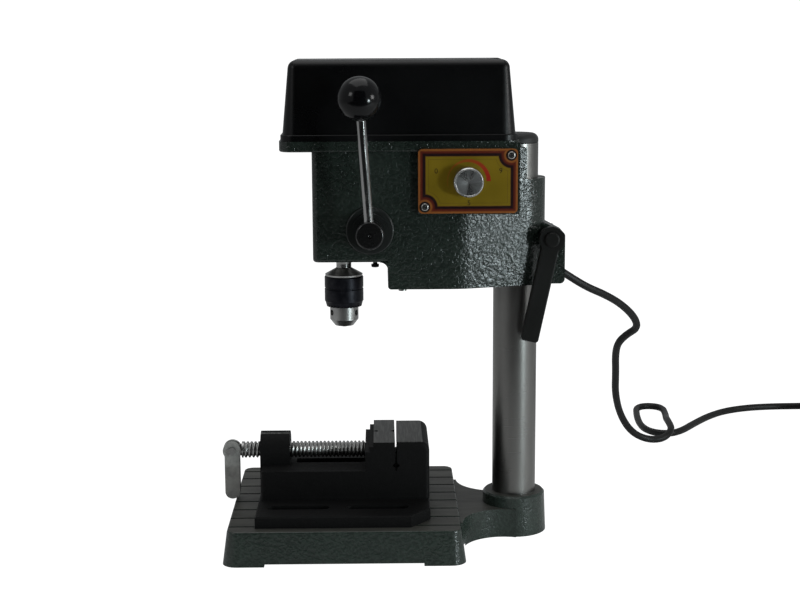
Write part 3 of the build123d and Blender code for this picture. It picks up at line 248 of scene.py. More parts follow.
class Paint:
    """A new material with one Principled shader and the nodes that feed it."""

    def __init__(self, name, color=(0.5, 0.5, 0.5), roughness=0.5, metallic=0.0, coat=0.0,
                 coat_roughness=0.1, specular=0.5):
        self.material = bpy.data.materials.new(name)
        self.material.use_nodes = True
        self.tree = self.material.node_tree
        self.shader = self.tree.nodes["Principled BSDF"]
        self.shader.inputs["Base Color"].default_value = (*color, 1)
        self.shader.inputs["Roughness"].default_value = roughness
        self.shader.inputs["Metallic"].default_value = metallic
        self.shader.inputs["Coat Weight"].default_value = coat
        self.shader.inputs["Coat Roughness"].default_value = coat_roughness
        self.shader.inputs["Specular IOR Level"].default_value = specular
        self._place = None

    def node(self, kind, settings=None, inputs=None):
        """Any other node: settings are set first, then the values or links of its sockets."""
        made = self.tree.nodes.new(kind)
        for key, value in (settings or {}).items():
            setattr(made, key, value)
        for key, value in (inputs or {}).items():
            if isinstance(value, Val):
                self.tree.links.new(value.socket, made.inputs[key])
            else:
                made.inputs[key].default_value = value
        return made

    def out(self, node, key=0):
        return Val(self.tree, node.outputs[key])

    def place(self):
        """Object coordinates, in metres from the frame's origin."""
        if self._place is None:
            self._place = self.out(self.node("ShaderNodeTexCoord"), "Object")
        return self._place

    def moved(self, centre=(0, 0, 0), scale=(1, 1, 1)):
        """Coordinates measured from a centre, stretched by a scale."""
        shifted = self.node("ShaderNodeVectorMath", {"operation": "SUBTRACT"}, {0: self.place(), 1: centre})
        return self.out(self.node("ShaderNodeVectorMath", {"operation": "MULTIPLY"},
                                  {0: self.out(shifted), 1: scale}))

    def axes(self, centre=(0, 0, 0)):
        split = self.node("ShaderNodeSeparateXYZ", inputs={0: self.moved(centre)})
        return [self.out(split, k) for k in range(3)]

    def facing(self):
        """Components of the surface's normal."""
        geometry = self.node("ShaderNodeNewGeometry")
        split = self.node("ShaderNodeSeparateXYZ", inputs={0: self.out(geometry, "Normal")})
        return [self.out(split, k) for k in range(3)]

    def noise(self, size, detail=2.0, rough=0.5, stretch=(1, 1, 1), centre=(0, 0, 0), lumpy=0.0):
        """Noise whose grains are about size metres across."""
        made = self.node("ShaderNodeTexNoise", inputs={
            "Vector": self.moved(centre, stretch), "Scale": 0.5 / size, "Detail": detail,
            "Roughness": rough, "Distortion": lumpy})
        return self.out(made, "Fac")

    def cells(self, size):
        made = self.node("ShaderNodeTexVoronoi", {"feature": "F1"},
                         {"Vector": self.place(), "Scale": 1.0 / size})
        return self.out(made, "Distance")

    def mix(self, factor, a, b):
        """Colour a where factor is 0, b where it is 1."""
        made = self.node("ShaderNodeMix", {"data_type": "RGBA"})
        for slot, value in ((0, factor), (6, a), (7, b)):
            if isinstance(value, Val):
                self.tree.links.new(value.socket, made.inputs[slot])
            elif slot == 0:
                made.inputs[slot].default_value = value
            else:
                made.inputs[slot].default_value = (*value[:3], 1)
        return Val(self.tree, made.outputs[2])

    def bump(self, height, distance, strength=1.0):
        made = self.node("ShaderNodeBump", inputs={"Height": height, "Distance": distance,
                                                    "Strength": strength})
        return self.out(made)

    def feed(self, **values):
        """Links values to the shader: color, roughness, metallic, coat or normal."""
        names = {"color": "Base Color", "roughness": "Roughness", "metallic": "Metallic",
                 "coat": "Coat Weight", "normal": "Normal"}
        for key, value in values.items():
            self.tree.links.new(value.socket, self.shader.inputs[names[key]])
        return self.material


# ---- finishes -------------------------------------------------------------

def enamel(name, color, grain, top_wear_and_light_color=None, top_z=0.0):
    """Wrinkled enamel on a rough casting; where a top colour is given, a paler top that is partly its own
    wear and partly painted light from above.
    """
    paint = Paint(name, color, 0.2, specular=0.5)
    wrinkle = paint.noise(grain, 2.0, 0.5, lumpy=0.5).fade(0.3, 0.7)
    fine = paint.noise(grain / 4, 1.0)
    cast = paint.noise(11 * MM, 2.0)
    cloud = paint.noise(28 * MM, 3.0)
    tone = (cloud.fade(0.3, 0.7) * 0.5 + wrinkle.fade(0.35, 0.75) * 0.5)
    shade = tuple(c * 0.72 for c in color)
    bright = tuple(c * 1.35 for c in color)
    base = paint.mix(tone, shade, bright)
    rough = 0.17 + fine * 0.08 + cloud.fade(0.3, 0.8) * 0.06
    height = wrinkle + fine * 0.1 + cast * 2.5
    if top_wear_and_light_color is None:
        return paint.feed(color=base, roughness=rough, normal=paint.bump(height, 0.17 * MM, 1.0))
    # Upward faces above top_z get the paler top colour: partly wear and dirt, partly painted light from
    # above.
    z = paint.axes()[2]
    up = paint.facing()[2].fade(0.75, 0.95) * z.over(top_z)
    dirt = paint.noise(6 * MM, 4.0, 0.6, stretch=(0.25, 1, 1))
    wear_and_light_top = paint.mix(dirt.fade(0.38, 0.66), top_wear_and_light_color, tuple(c * 0.62 for c in top_wear_and_light_color))
    base = paint.mix(up, base, wear_and_light_top)
    rough = rough * (1 - up) + (0.42 + dirt * 0.2) * up
    height = height * (1 - up * 0.75)
    return paint.feed(color=base, roughness=rough, normal=paint.bump(height, 0.14 * MM, 0.8))


def ground_tube(name, color):
    """Steel ground round and round, with drawn streaks and faint handling marks."""
    paint = Paint(name, color, 0.3, metallic=1.0)
    rings = paint.noise(0.22 * MM, 1.0, stretch=(0.02, 0.02, 1))
    drift = paint.noise(9 * MM, 3.0, stretch=(1, 1, 0.12))
    smear = paint.noise(16 * MM, 4.0, 0.65, stretch=(1, 1, 0.4))
    tone = paint.mix(drift.fade(0.3, 0.75) * 0.5 + smear.fade(0.35, 0.8) * 0.5,
                     tuple(c * 0.74 for c in color), color)
    rough = 0.24 + rings * 0.12 + smear.fade(0.4, 0.75) * 0.1
    return paint.feed(color=tone, roughness=rough, normal=paint.bump(rings, 0.03 * MM, 0.5))


def machined(name, color, rough_at=0.28):
    """Turned or milled metal: fine tool marks and a little uneven tarnish."""
    paint = Paint(name, color, rough_at, metallic=1.0)
    marks = paint.noise(0.3 * MM, 2.0, stretch=(1, 1, 0.35))
    stain = paint.noise(5 * MM, 3.0, 0.6)
    tone = paint.mix(stain.fade(0.35, 0.75), color, tuple(c * 0.7 for c in color))
    rough = rough_at - 0.06 + marks * 0.14 + stain.fade(0.5, 0.8) * 0.1
    return paint.feed(color=tone, roughness=rough, normal=paint.bump(marks, 0.02 * MM, 0.5))


def bright_bar(name):
    """Plated steel, nearly a mirror, with faint lengthwise scuffs."""
    paint = Paint(name, (0.34, 0.34, 0.335), 0.16, metallic=1.0)
    scuff = paint.noise(1.1 * MM, 3.0, 0.6, stretch=(1, 1, 0.05))
    rough = 0.13 + scuff.fade(0.45, 0.8) * 0.2
    tone = paint.mix(scuff.fade(0.55, 0.85), (0.36, 0.36, 0.355), (0.22, 0.22, 0.215))
    return paint.feed(color=tone, roughness=rough, normal=paint.bump(scuff, 0.02 * MM, 0.3))


def moulded(name, color, rough_at=0.36, skin=0.35 * MM, coat=0.0, relief=0.06 * MM, specular=0.35):
    """Moulded plastic: a fine spark-eroded skin, slow gloss changes and dust in the scratches."""
    paint = Paint(name, color, rough_at, coat=coat, coat_roughness=0.18, specular=specular)
    texture = paint.noise(skin, 2.0, 0.6)
    sweep = paint.noise(24 * MM, 3.0)
    rub = paint.noise(2.2 * MM, 5.0, 0.7, stretch=(0.3, 1, 1))
    tone = paint.mix(rub.fade(0.62, 0.85), color, tuple(min(1, c * 2.2 + 0.004) for c in color))
    rough = rough_at - 0.07 + texture * 0.06 + sweep.fade(0.3, 0.7) * 0.1
    return paint.feed(color=tone, roughness=rough, normal=paint.bump(texture, relief, 0.6))


def phenolic(name):
    """Polished black knob: deep gloss, a soft haze and fingerprints."""
    paint = Paint(name, (0.003, 0.003, 0.0035), 0.16, coat=0.03, coat_roughness=0.08, specular=0.22)
    print_marks = paint.noise(3 * MM, 4.0, 0.65)
    haze = paint.noise(0.25 * MM, 1.0)
    rough = 0.13 + print_marks.fade(0.5, 0.8) * 0.12 + haze * 0.03
    return paint.feed(roughness=rough, normal=paint.bump(print_marks, 0.01 * MM, 0.2))


def oxide(name):
    """Blued steel with oil, rubbed a little on the corners."""
    paint = Paint(name, (0.008, 0.0085, 0.012), 0.32, metallic=0.6, specular=0.3)
    stain = paint.noise(2.6 * MM, 4.0, 0.6)
    fine = paint.noise(0.3 * MM, 1.0, stretch=(1, 1, 0.3))
    tone = paint.mix(stain.fade(0.4, 0.8), (0.005, 0.0055, 0.009), (0.022, 0.022, 0.027))
    rough = 0.28 + stain * 0.16 + fine * 0.06
    return paint.feed(color=tone, roughness=rough, normal=paint.bump(fine, 0.02 * MM, 0.5))


def black_casting(name, color, tops):
    """Rough painted iron, with milled faces left bare at the heights in tops."""
    paint = Paint(name, color, 0.6, specular=0.12)
    sand = paint.noise(0.9 * MM, 3.0, 0.6)
    lumps = paint.noise(5 * MM, 2.0)
    chips = paint.noise(1.6 * MM, 5.0, 0.7)
    x, y, z = paint.axes()
    up = paint.facing()[2].over(0.9)
    bare = None
    for z0, half_w in tops:
        band = (abs(z - z0)).under(0.25 * MM) * (abs(y)).under(half_w) * up
        bare = band if bare is None else bare.high(band)
    mill = paint.noise(0.5 * MM, 2.0, stretch=(1, 0.08, 1))
    steel = paint.mix(mill.fade(0.35, 0.7), (0.060, 0.061, 0.058), (0.13, 0.13, 0.125))
    painted = paint.mix(chips.fade(0.66, 0.8), color, tuple(c * 2.6 for c in color))
    base = paint.mix(bare, painted, steel)
    rough = (0.5 + sand * 0.2) * (1 - bare) + (0.36 + mill * 0.16) * bare
    metal = bare * 0.6
    height = (sand + lumps * 2.0) * (1 - bare) + mill * bare * 0.1
    return paint.feed(color=base, roughness=rough, metallic=metal,
                      normal=paint.bump(height, 0.22 * MM, 0.7))


def zinc_cast(name):
    """Grey zinc, dull from the mould, with small pits."""
    paint = Paint(name, (0.34, 0.34, 0.325), 0.46, metallic=0.55)
    pits = paint.noise(0.7 * MM, 3.0, 0.6)
    stain = paint.noise(4 * MM, 4.0, 0.6)
    tone = paint.mix(stain.fade(0.35, 0.75), (0.38, 0.38, 0.36), (0.22, 0.22, 0.21))
    return paint.feed(color=tone, roughness=0.38 + pits * 0.18, normal=paint.bump(pits, 0.05 * MM, 0.6))


def spun_face(name, centre):
    """Aluminium knob: its face is turned, so light fans out in wedges, painted here into the face's colour
    as highlight and shade wedges and into its roughness; the rim is bright.
    """
    paint = Paint(name, (0.62, 0.62, 0.61), 0.3, metallic=1.0)
    x, y, z = paint.axes(centre)
    around = z.angle(x)
    far = (x * x + z * z).root()
    lines = (far * (2 * pi / (0.42 * MM))).wave()
    reflection_fan = (around * 2.0 + 1.1).wave() * 0.5 + (around * 5.0 - 0.7).wave() * 0.28
    reflection_fan = reflection_fan + (around * 9.0).wave() * 0.12
    face = paint.facing()[1].under(-0.9)
    # Painted highlight and shade: the face's colour turns dark in the wedges where the turned face would
    # reflect less light.
    tone = paint.mix(reflection_fan.fade(-0.6, 0.75) * face, (0.60, 0.60, 0.59), (0.26, 0.26, 0.26))
    rough = 0.22 + reflection_fan.fade(-0.7, 0.8) * face * 0.2 + paint.noise(0.4 * MM) * 0.06
    return paint.feed(color=tone, roughness=rough, normal=paint.bump(lines * face, 0.012 * MM, 0.5))


def printed_panel(name, centre, half_l, half_h, corner_in, collar_r, colors):
    """Gloss print: yellow field, a scooped frame fading from orange to a dark line, and an arc."""
    paint = Paint(name, colors["field"], 0.3, coat=0.6, coat_roughness=0.08)
    x, y, z = paint.axes(centre)

    frame_w = 4.7 * MM
    arc_r = 12.6 * MM
    depth = (half_l - abs(x)).low(half_h - abs(z))
    for side in (-1, 1):
        dx = x - side * (half_l - corner_in)
        dz = z - side * (half_h - corner_in)
        depth = depth.low((dx * dx + dz * dz).root() - collar_r)
    field_in = depth - frame_w
    in_field = field_in.fade(-0.15 * MM, 0.05 * MM)
    frame_tone = paint.mix(depth.fade(0.7 * MM, 1.7 * MM), colors["band"], colors["middle"])
    frame_tone = paint.mix(depth.fade(2.0 * MM, 3.3 * MM), frame_tone, colors["line"])
    frame_tone = paint.mix(depth.over(frame_w - 0.4 * MM), frame_tone, (0.12, 0.055, 0.009))
    cloud = paint.noise(9 * MM, 3.0)
    field = paint.mix(cloud.fade(0.3, 0.7), colors["field"], tuple(c * 1.2 for c in colors["field"]))
    key_line = (field_in - 1.5 * MM).over(0) * (field_in - 1.75 * MM).under(0)
    field = paint.mix(key_line * 0.75, field, (0.10, 0.06, 0.01))
    far = (x * x + z * z).root()
    around = z.angle(x * -1.0)
    sweep = around.fade(-0.55, 3.3)
    arc_w = 0.18 * MM + sweep * 1.15 * MM
    arc = (abs(far - arc_r) - arc_w).under(0) * around.over(-0.25)
    arc_tone = paint.mix(sweep, (0.26, 0.12, 0.01), (0.30, 0.014, 0.006))
    field = paint.mix(arc, field, arc_tone)
    base = paint.mix(in_field, frame_tone, field)
    base = paint.mix(depth.fade(0.1 * MM, -0.15 * MM), base, (0.008, 0.006, 0.005))
    side = paint.facing()[1].over(-0.7)
    base = paint.mix(side, base, (0.30, 0.11, 0.03))
    screen = paint.noise(0.16 * MM, 1.0)
    return paint.feed(color=base, roughness=0.24 + cloud * 0.1 + screen * 0.05,
                      normal=paint.bump(screen, 0.008 * MM, 0.4))


def cord_jacket(name):
    """Black PVC jacket, slightly matt, with dust in its folds."""
    paint = Paint(name, (0.006, 0.006, 0.0058), 0.45, specular=0.3)
    dust = paint.noise(4 * MM, 4.0, 0.6)
    skin = paint.noise(0.4 * MM, 1.0)
    tone = paint.mix(dust.fade(0.45, 0.75), (0.0045, 0.0045, 0.0043), (0.012, 0.012, 0.011))
    return paint.feed(color=tone, roughness=0.38 + dust * 0.16, normal=paint.bump(skin, 0.02 * MM, 0.5))


def board_lacquer(name):
    paint = Paint(name, (0.02, 0.12, 0.05), 0.35, coat=0.5)
    tracks = paint.cells(2.4 * MM)
    tone = paint.mix(tracks.fade(0.25, 0.4), (0.03, 0.17, 0.07), (0.015, 0.09, 0.04))
    return paint.feed(color=tone, roughness=0.3 + tracks * 0.1)


def floor_finish(name, color):
    """Pale paper, lit so that it stays even in the camera's view."""
    paint = Paint(name, color, 0.6)
    grain = paint.noise(3 * MM, 3.0)
    tone = paint.mix(grain, color, tuple(min(1, c * 1.03) for c in color))
    paint.feed(color=tone, roughness=0.55 + grain * 0.1)
    glow = paint.node("ShaderNodeEmission", inputs={"Color": (1, 1, 1, 1), "Strength": 1.3})
    sight = paint.node("ShaderNodeLightPath")
    blend = paint.node("ShaderNodeMixShader", inputs={
        0: paint.out(sight, "Is Camera Ray") * 0.8, 1: paint.out(paint.shader), 2: paint.out(glow)})
    paint.tree.links.new(blend.outputs[0], paint.tree.nodes["Material Output"].inputs["Surface"])
    return paint.material


# ---- mesh helpers ---------------------------------------------------------

def piece(name, mesh, body, material, stands_for=()):
    """Puts a finished mesh on its body, with its material and slot."""
    made = bpy.data.objects.new(name, mesh)
    bpy.context.collection.objects.link(made)
    mesh.materials.clear()
    mesh.materials.append(material)
    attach(made, body)
    if stands_for:
        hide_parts(*stands_for)
    return made


def mesh_from(name, build, smooth_below=radians(35)):
    """Mesh that build fills through bmesh, its faces turned outwards."""
    bm = bmesh.new()
    build(bm)
    bmesh.ops.remove_doubles(bm, verts=bm.verts, dist=1e-7)
    bmesh.ops.recalc_face_normals(bm, faces=bm.faces)
    mesh = bpy.data.meshes.new(name)
    bm.to_mesh(mesh)
    bm.free()
    mesh.shade_smooth()
    mesh.set_sharp_from_angle(angle=smooth_below)
    return mesh


def frozen(maker, name):
    """Plain mesh of an object with its modifiers, which then goes."""
    bpy.context.view_layer.update()
    graph = bpy.context.evaluated_depsgraph_get()
    mesh = bpy.data.meshes.new_from_object(maker.evaluated_get(graph))
    mesh.name = name
    bpy.data.objects.remove(maker)
    return mesh


def lathe(bm, centre, axis, profile, steps=64):
    """Turned form about an axis through centre, from (radius, distance along the axis) points."""
    turn = axis.to_track_quat("Z", "Y").to_matrix().to_4x4()
    place = Matrix.Translation(centre) @ turn
    rows = []
    for r, h in profile:
        if r < 1e-7:
            rows.append([bm.verts.new(place @ Vector((0, 0, h)))])
            continue
        turns = [2 * pi * k / steps for k in range(steps)]
        rows.append([bm.verts.new(place @ Vector((r * cos(t), r * sin(t), h))) for t in turns])
    for a, b in zip(rows, rows[1:]):
        for k in range(steps):
            ring_a = [a[k % len(a)], a[(k + 1) % len(a)]]
            ring_b = [b[(k + 1) % len(b)], b[k % len(b)]]
            corners = []
            for v in ring_a + ring_b:
                if v not in corners:
                    corners.append(v)
            if len(corners) > 2:
                bm.faces.new(corners)


def dress(material, *nodes):
    """Gives CAD nodes a finish."""
    for node in nodes:
        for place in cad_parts[node].material_slots:
            place.material = material


# ---- pieces ---------------------------------------------------------------

class DRILLPRESS_OT_stage(bpy.types.Operator):
    """Camera, floor and soft studio light"""
    bl_idname = "drillpress.stage"
    bl_label = "Stage"

    def execute(self, context):
        s = context.scene.drillpress_stage
        self.camera(context, s)
        low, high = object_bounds()
        self.floor(s, Vector(low).z)
        self.lights()
        self.flags()
        return {"FINISHED"}

    def camera(self, context, s):
        lens = bpy.data.cameras.new("view")
        lens.sensor_width = 36
        lens.lens = s.lens
        lens.clip_end = 50
        eye = bpy.data.objects.new("view", lens)
        context.collection.objects.link(eye)
        forward = Vector((sin(s.heading) * cos(s.dip), cos(s.heading) * cos(s.dip), -sin(s.dip)))
        across = Vector((cos(s.heading), -sin(s.heading), 0))
        down = forward.cross(across)
        x_axis = cos(s.tilt) * across + sin(s.tilt) * down
        y_axis = sin(s.tilt) * across - cos(s.tilt) * down
        turn = Matrix((x_axis, y_axis, -forward)).transposed().to_4x4()
        eye.matrix_world = Matrix.Translation(Vector(s.eye)) @ turn
        context.scene.camera = eye

    def floor(self, s, height):
        reach = 6.0
        mesh = bpy.data.meshes.new("floor")
        mesh.from_pydata([(-reach, -reach, height), (reach, -reach, height),
                          (reach, reach, height), (-reach, reach, height)], [], [(0, 1, 2, 3)])
        mesh.materials.append(floor_finish("floor", s.floor))
        made = bpy.data.objects.new("floor", mesh)
        bpy.context.collection.objects.link(made)
        made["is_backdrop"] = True

    def lights(self):
        """Paper white behind the object, a dimmer room that lights it, and four soft boxes."""
        world = bpy.data.worlds.new("studio")
        bpy.context.scene.world = world
        world.use_nodes = True
        tree = world.node_tree
        paper = tree.nodes["Background"]
        paper.inputs["Color"].default_value = (1, 1, 1, 1)
        paper.inputs["Strength"].default_value = 1.1
        room = tree.nodes.new("ShaderNodeBackground")
        room.inputs["Color"].default_value = (0.95, 0.98, 1, 1)
        room.inputs["Strength"].default_value = 0.34
        sight = tree.nodes.new("ShaderNodeLightPath")
        blend = tree.nodes.new("ShaderNodeMixShader")
        tree.links.new(sight.outputs["Is Camera Ray"], blend.inputs[0])
        tree.links.new(room.outputs[0], blend.inputs[1])
        tree.links.new(paper.outputs[0], blend.inputs[2])
        tree.links.new(blend.outputs[0], tree.nodes["World Output"].inputs["Surface"])
        bpy.context.scene.view_settings.view_transform = "Standard"
        middle_of_all = Vector((-0.06, 0, 0.16))
        white, cool = (1, 1, 1), (0.84, 0.97, 1.0)
        for name, place, size, power, tint in (
                ("right_box", (0.66, -0.72, 0.16), 0.15, 3.2, cool),
                ("side_box", (1.0, -0.45, 0.45), 0.3, 2.4, white),
                ("left_box", (-0.9, -0.75, 0.75), 0.3, 1.2, white),
                ("top_box", (-0.1, 0.1, 1.15), 0.9, 3.0, white)):
            lamp = bpy.data.lights.new(name, "AREA")
            lamp.shape = "SQUARE"
            lamp.size = size
            lamp.energy = power
            lamp.color = tint
            made = bpy.data.objects.new(name, lamp)
            bpy.context.collection.objects.link(made)
            at = Vector(place)
            made.matrix_world = Matrix.Translation(at) @ (
                middle_of_all - at).to_track_quat("-Z", "Y").to_matrix().to_4x4()

    def flags(self):
        """Dark cards before the object keep its front faces deep; the camera doesn't see them."""
        dark = moulded("flag_cloth", (0.01, 0.01, 0.01), 0.9)
        z, wall_y = 0.004, -1.7
        for name, corners in (
                ("floor_flag", [(-1.3, -3.0, z), (1.3, -3.0, z), (1.0, -0.45, z), (-1.0, -0.45, z)]),
                ("wall_flag", [(-1.1, wall_y, 0.0), (1.0, wall_y, 0.0), (1.0, wall_y, 1.9),
                               (-1.1, wall_y, 1.9)])):
            mesh = bpy.data.meshes.new(name)
            mesh.from_pydata(corners, [], [(0, 1, 2, 3)])
            mesh.materials.append(dark)
            made = bpy.data.objects.new(name, mesh)
            bpy.context.collection.objects.link(made)
            made.visible_camera = False
            made.visible_shadow = False
            made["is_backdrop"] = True


CORD_ROUTE = [(x * MM, y * MM, z * MM) for x, y, z in (
    (-19.42, 56.5, 180), (-14.6, 72.7, 180), (-3.5, 86, 177.5), (13.5, 92, 171.5), (30, 93, 162.5),
    (44.5, 95, 152.5), (59, 99.5, 143), (73.5, 107, 136), (86.5, 116, 127.5), (97.5, 125, 116.5),
    (101.5, 132.5, 107), (94.5, 138.5, 101), (89, 145, 93.5), (88.5, 153.5, 83), (90.5, 163, 67),
    (92, 174.5, 48), (98, 186.5, 28), (108.5, 196.5, 11.5), (122, 201, 4), (135, 201, 4.6),
    (143.5, 211, 9.5), (144, 232, 10.8), (146, 252, 8), (149.5, 272, 4), (152, 290, 2.75),
    (153, 306.5, 2.75), (147.5, 315, 2.75), (138, 316, 2.75), (131, 309, 2.75), (128.5, 295, 2.75),
    (126, 273, 2.75), (125, 251, 2.75), (127.5, 235, 2.75), (135, 225, 2.75), (146, 224.5, 2.75),
    (156, 234, 2.75), (169, 254.5, 2.75), (186, 279, 2.75), (204, 297, 2.75), (226, 307.5, 2.75),
    (248, 311, 2.75), (269, 310.5, 3), (288.5, 308.75, 3.6),
)]


def coil_points(radius, turn_points):
    """Two layers of turns, wound inwards on the floor and outwards on top, ending beside the plug."""
    coil_low, coil_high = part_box("cord_coil")
    coil_mid = middle("cord_coil")
    outer = (coil_high.x - coil_low.x) / 2 - radius
    gap = 2 * radius + 0.1 * MM
    wound_in, climb, wound_out = 2.0, 3.25, 5.25    # turns at which each stage ends
    lift_at, lift_turns = 2.5, 0.5
    low_z, high_z = coil_low.z + radius, coil_low.z + radius + gap
    points = []
    for k in range(1, int(wound_out * turn_points) + 1):
        t = k / turn_points
        r = outer - gap * min(t, wound_in) + gap * max(0, t - climb)
        rise = min(1, max(0, (t - lift_at) / lift_turns))
        turn = pi / 2 - 2 * pi * t
        points.append((coil_mid.x + r * cos(turn), coil_mid.y + r * sin(turn),
                       low_z + (high_z - low_z) * rise))
    return points


class DRILLPRESS_OT_cord(bpy.types.Operator):
    """Power cord with its coil, and the finishes of its plug, tie and strain relief"""
    bl_idname = "drillpress.cord"
    bl_label = "Power cord"

    def execute(self, context):
        s = context.scene.drillpress_cord
        rubber = moulded("cord_rubber", (0.010, 0.010, 0.010), 0.42)
        dress(rubber, "plug_body", "strain_relief", "coil_tie")
        dress(machined("pin_plating", (0.60, 0.58, 0.52), 0.22), "plug_pins")
        plug_mid = middle("plug_body")
        tail = (plug_mid.x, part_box("plug_body")[1].y, plug_mid.z)
        points = CORD_ROUTE + coil_points(s.radius, s.turn_points)
        coil_end = points[-1]
        points += [(tail[0], (coil_end[1] + tail[1]) / 2, (coil_end[2] + tail[2]) / 2),
                   (tail[0], tail[1] - 1 * MM, tail[2])]
        line = self.curve("cord_line", points, 0)
        graph = context.evaluated_depsgraph_get()
        track = bpy.data.meshes.new_from_object(line.evaluated_get(graph))
        bpy.data.objects.remove(line)
        tube = self.curve("cord_tube", points, s.radius)
        mesh = frozen(tube, "power_cord_run")
        mesh.shade_smooth()
        cord = bpy.data.objects.new("power_cord_run", mesh)
        context.collection.objects.link(cord)
        mesh.materials.clear()
        mesh.materials.append(cord_jacket("cord_jacket"))
        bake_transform(cord)
        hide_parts("power_cord", "cord_coil")
        return {"FINISHED"}

    def curve(self, name, points, radius):
        data = bpy.data.curves.new(name, "CURVE")
        data.dimensions = "3D"
        data.resolution_u = 6
        data.bevel_depth = radius
        data.bevel_resolution = 4
        data.use_fill_caps = True
        spline = data.splines.new("NURBS")
        spline.points.add(len(points) - 1)
        for point, at in zip(spline.points, points):
            point.co = (*at, 1)
        spline.order_u = 3
        spline.use_endpoint_u = True
        made = bpy.data.objects.new(name, data)
        bpy.context.collection.objects.link(made)
        bpy.context.view_layer.update()
        return made


class DRILLPRESS_OT_castings(bpy.types.Operator):
    """Wrinkled green enamel on the base and the head, and the plate and screws below"""
    bl_idname = "drillpress.castings"
    bl_label = "Castings"

    def execute(self, context):
        s = context.scene.drillpress_casting
        top_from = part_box("vise_body")[0].z - 4 * MM
        # Painted shade: the head's enamel is the base's paint darkened to 0.62, though both castings carry
        # the same paint.
        dress(enamel("head_enamel_painted_shade", tuple(c * 0.62 for c in s.paint), s.grain), "head_casting")
        # The base's table top is painted lighter for the light from above, as well as worn.
        dress(enamel("base_enamel", s.paint, s.grain, s.table, top_from), "base_plate")
        dress(moulded("vented_plate", (0.018, 0.019, 0.018), 0.42), "bottom_plate")
        dress(machined("plated_screw", (0.42, 0.42, 0.40)), "bottom_screws")
        dress(oxide("set_screw_oxide"), "column_set_screw")
        return {"FINISHED"}


class DRILLPRESS_OT_column(bpy.types.Operator):
    """Ground steel column and its dark plug"""
    bl_idname = "drillpress.column"
    bl_label = "Column"

    def execute(self, context):
        dress(ground_tube("ground_column", (0.235, 0.232, 0.222)), "column")
        dress(moulded("cap_plastic", (0.018, 0.018, 0.017), 0.5), "column_cap")
        return {"FINISHED"}


class DRILLPRESS_OT_drive(bpy.types.Operator):
    """Motor, pulleys, belt and the moulded cover over them"""
    bl_idname = "drillpress.drive"
    bl_label = "Drive and cover"

    def execute(self, context):
        s = context.scene.drillpress_cover
        dress(moulded("cover_plastic", s.plastic, 0.30, skin=0.9 * MM, relief=0.05 * MM, specular=0.25),
              "belt_cover")
        dress(moulded("belt_rubber", (0.012, 0.012, 0.012), 0.6), "drive_belt")
        dress(moulded("motor_paint", (0.020, 0.021, 0.022), 0.4), "motor_case")
        dress(moulded("end_cap_plastic", (0.012, 0.012, 0.012), 0.45), "motor_end_cap")
        dress(zinc_cast("pulley_metal"), "motor_pulley", "spindle_pulley")
        dress(machined("drive_steel", (0.45, 0.45, 0.44)), "motor_shaft", "motor_screws", "pulley_bearings")
        return {"FINISHED"}


class DRILLPRESS_OT_panel(bpy.types.Operator):
    """Printed speed panel with dial numbers, its screws, and the control behind it"""
    bl_idname = "drillpress.panel"
    bl_label = "Speed panel"

    def execute(self, context):
        s = context.scene.drillpress_panel
        low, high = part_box("speed_panel")
        centre = middle("speed_panel")
        corner_in = 4.0 * MM
        colors = {name: tuple(getattr(s, name)) for name in ("field", "band", "middle", "line")}
        dress(printed_panel("panel_print", centre, (high.x - low.x) / 2, (high.z - low.z) / 2,
                            corner_in, s.collar, colors), "speed_panel")
        dress(machined("panel_screw_plating", (0.50, 0.50, 0.48), 0.24), "panel_screws")
        dress(machined("brass_bush", (0.55, 0.38, 0.14)), "pot_nut", "pot_shaft")
        dress(zinc_cast("control_case"), "potentiometer")
        dress(board_lacquer("board_lacquer"), "circuit_board")
        ink = moulded("numeral_ink", (0.012, 0.006, 0.002), 0.4)
        for number, x, z in ((0, -19.5, 6.2), (5, 0.6, -13.4), (9, 20.0, 6.2)):
            self.numeral(number, centre.x + x * MM, low.y, centre.z + z * MM, ink)
        return {"FINISHED"}

    def numeral(self, number, x, y, z, ink):
        """A dial number that stands a hair proud of the panel."""
        data = bpy.data.curves.new("numeral", "FONT")
        data.body = str(number)
        data.size = 4.4 * MM
        data.extrude = 0.05 * MM
        data.align_x = "CENTER"
        data.align_y = "CENTER"
        text = bpy.data.objects.new("numeral", data)
        bpy.context.collection.objects.link(text)
        mesh = frozen(text, "dial_numeral_%d" % number)
        mesh.transform(Matrix.Translation((x, y, z)) @ Matrix.Rotation(pi / 2, 4, "X"))
        piece("dial_numeral_%d" % number, mesh, "head", ink)


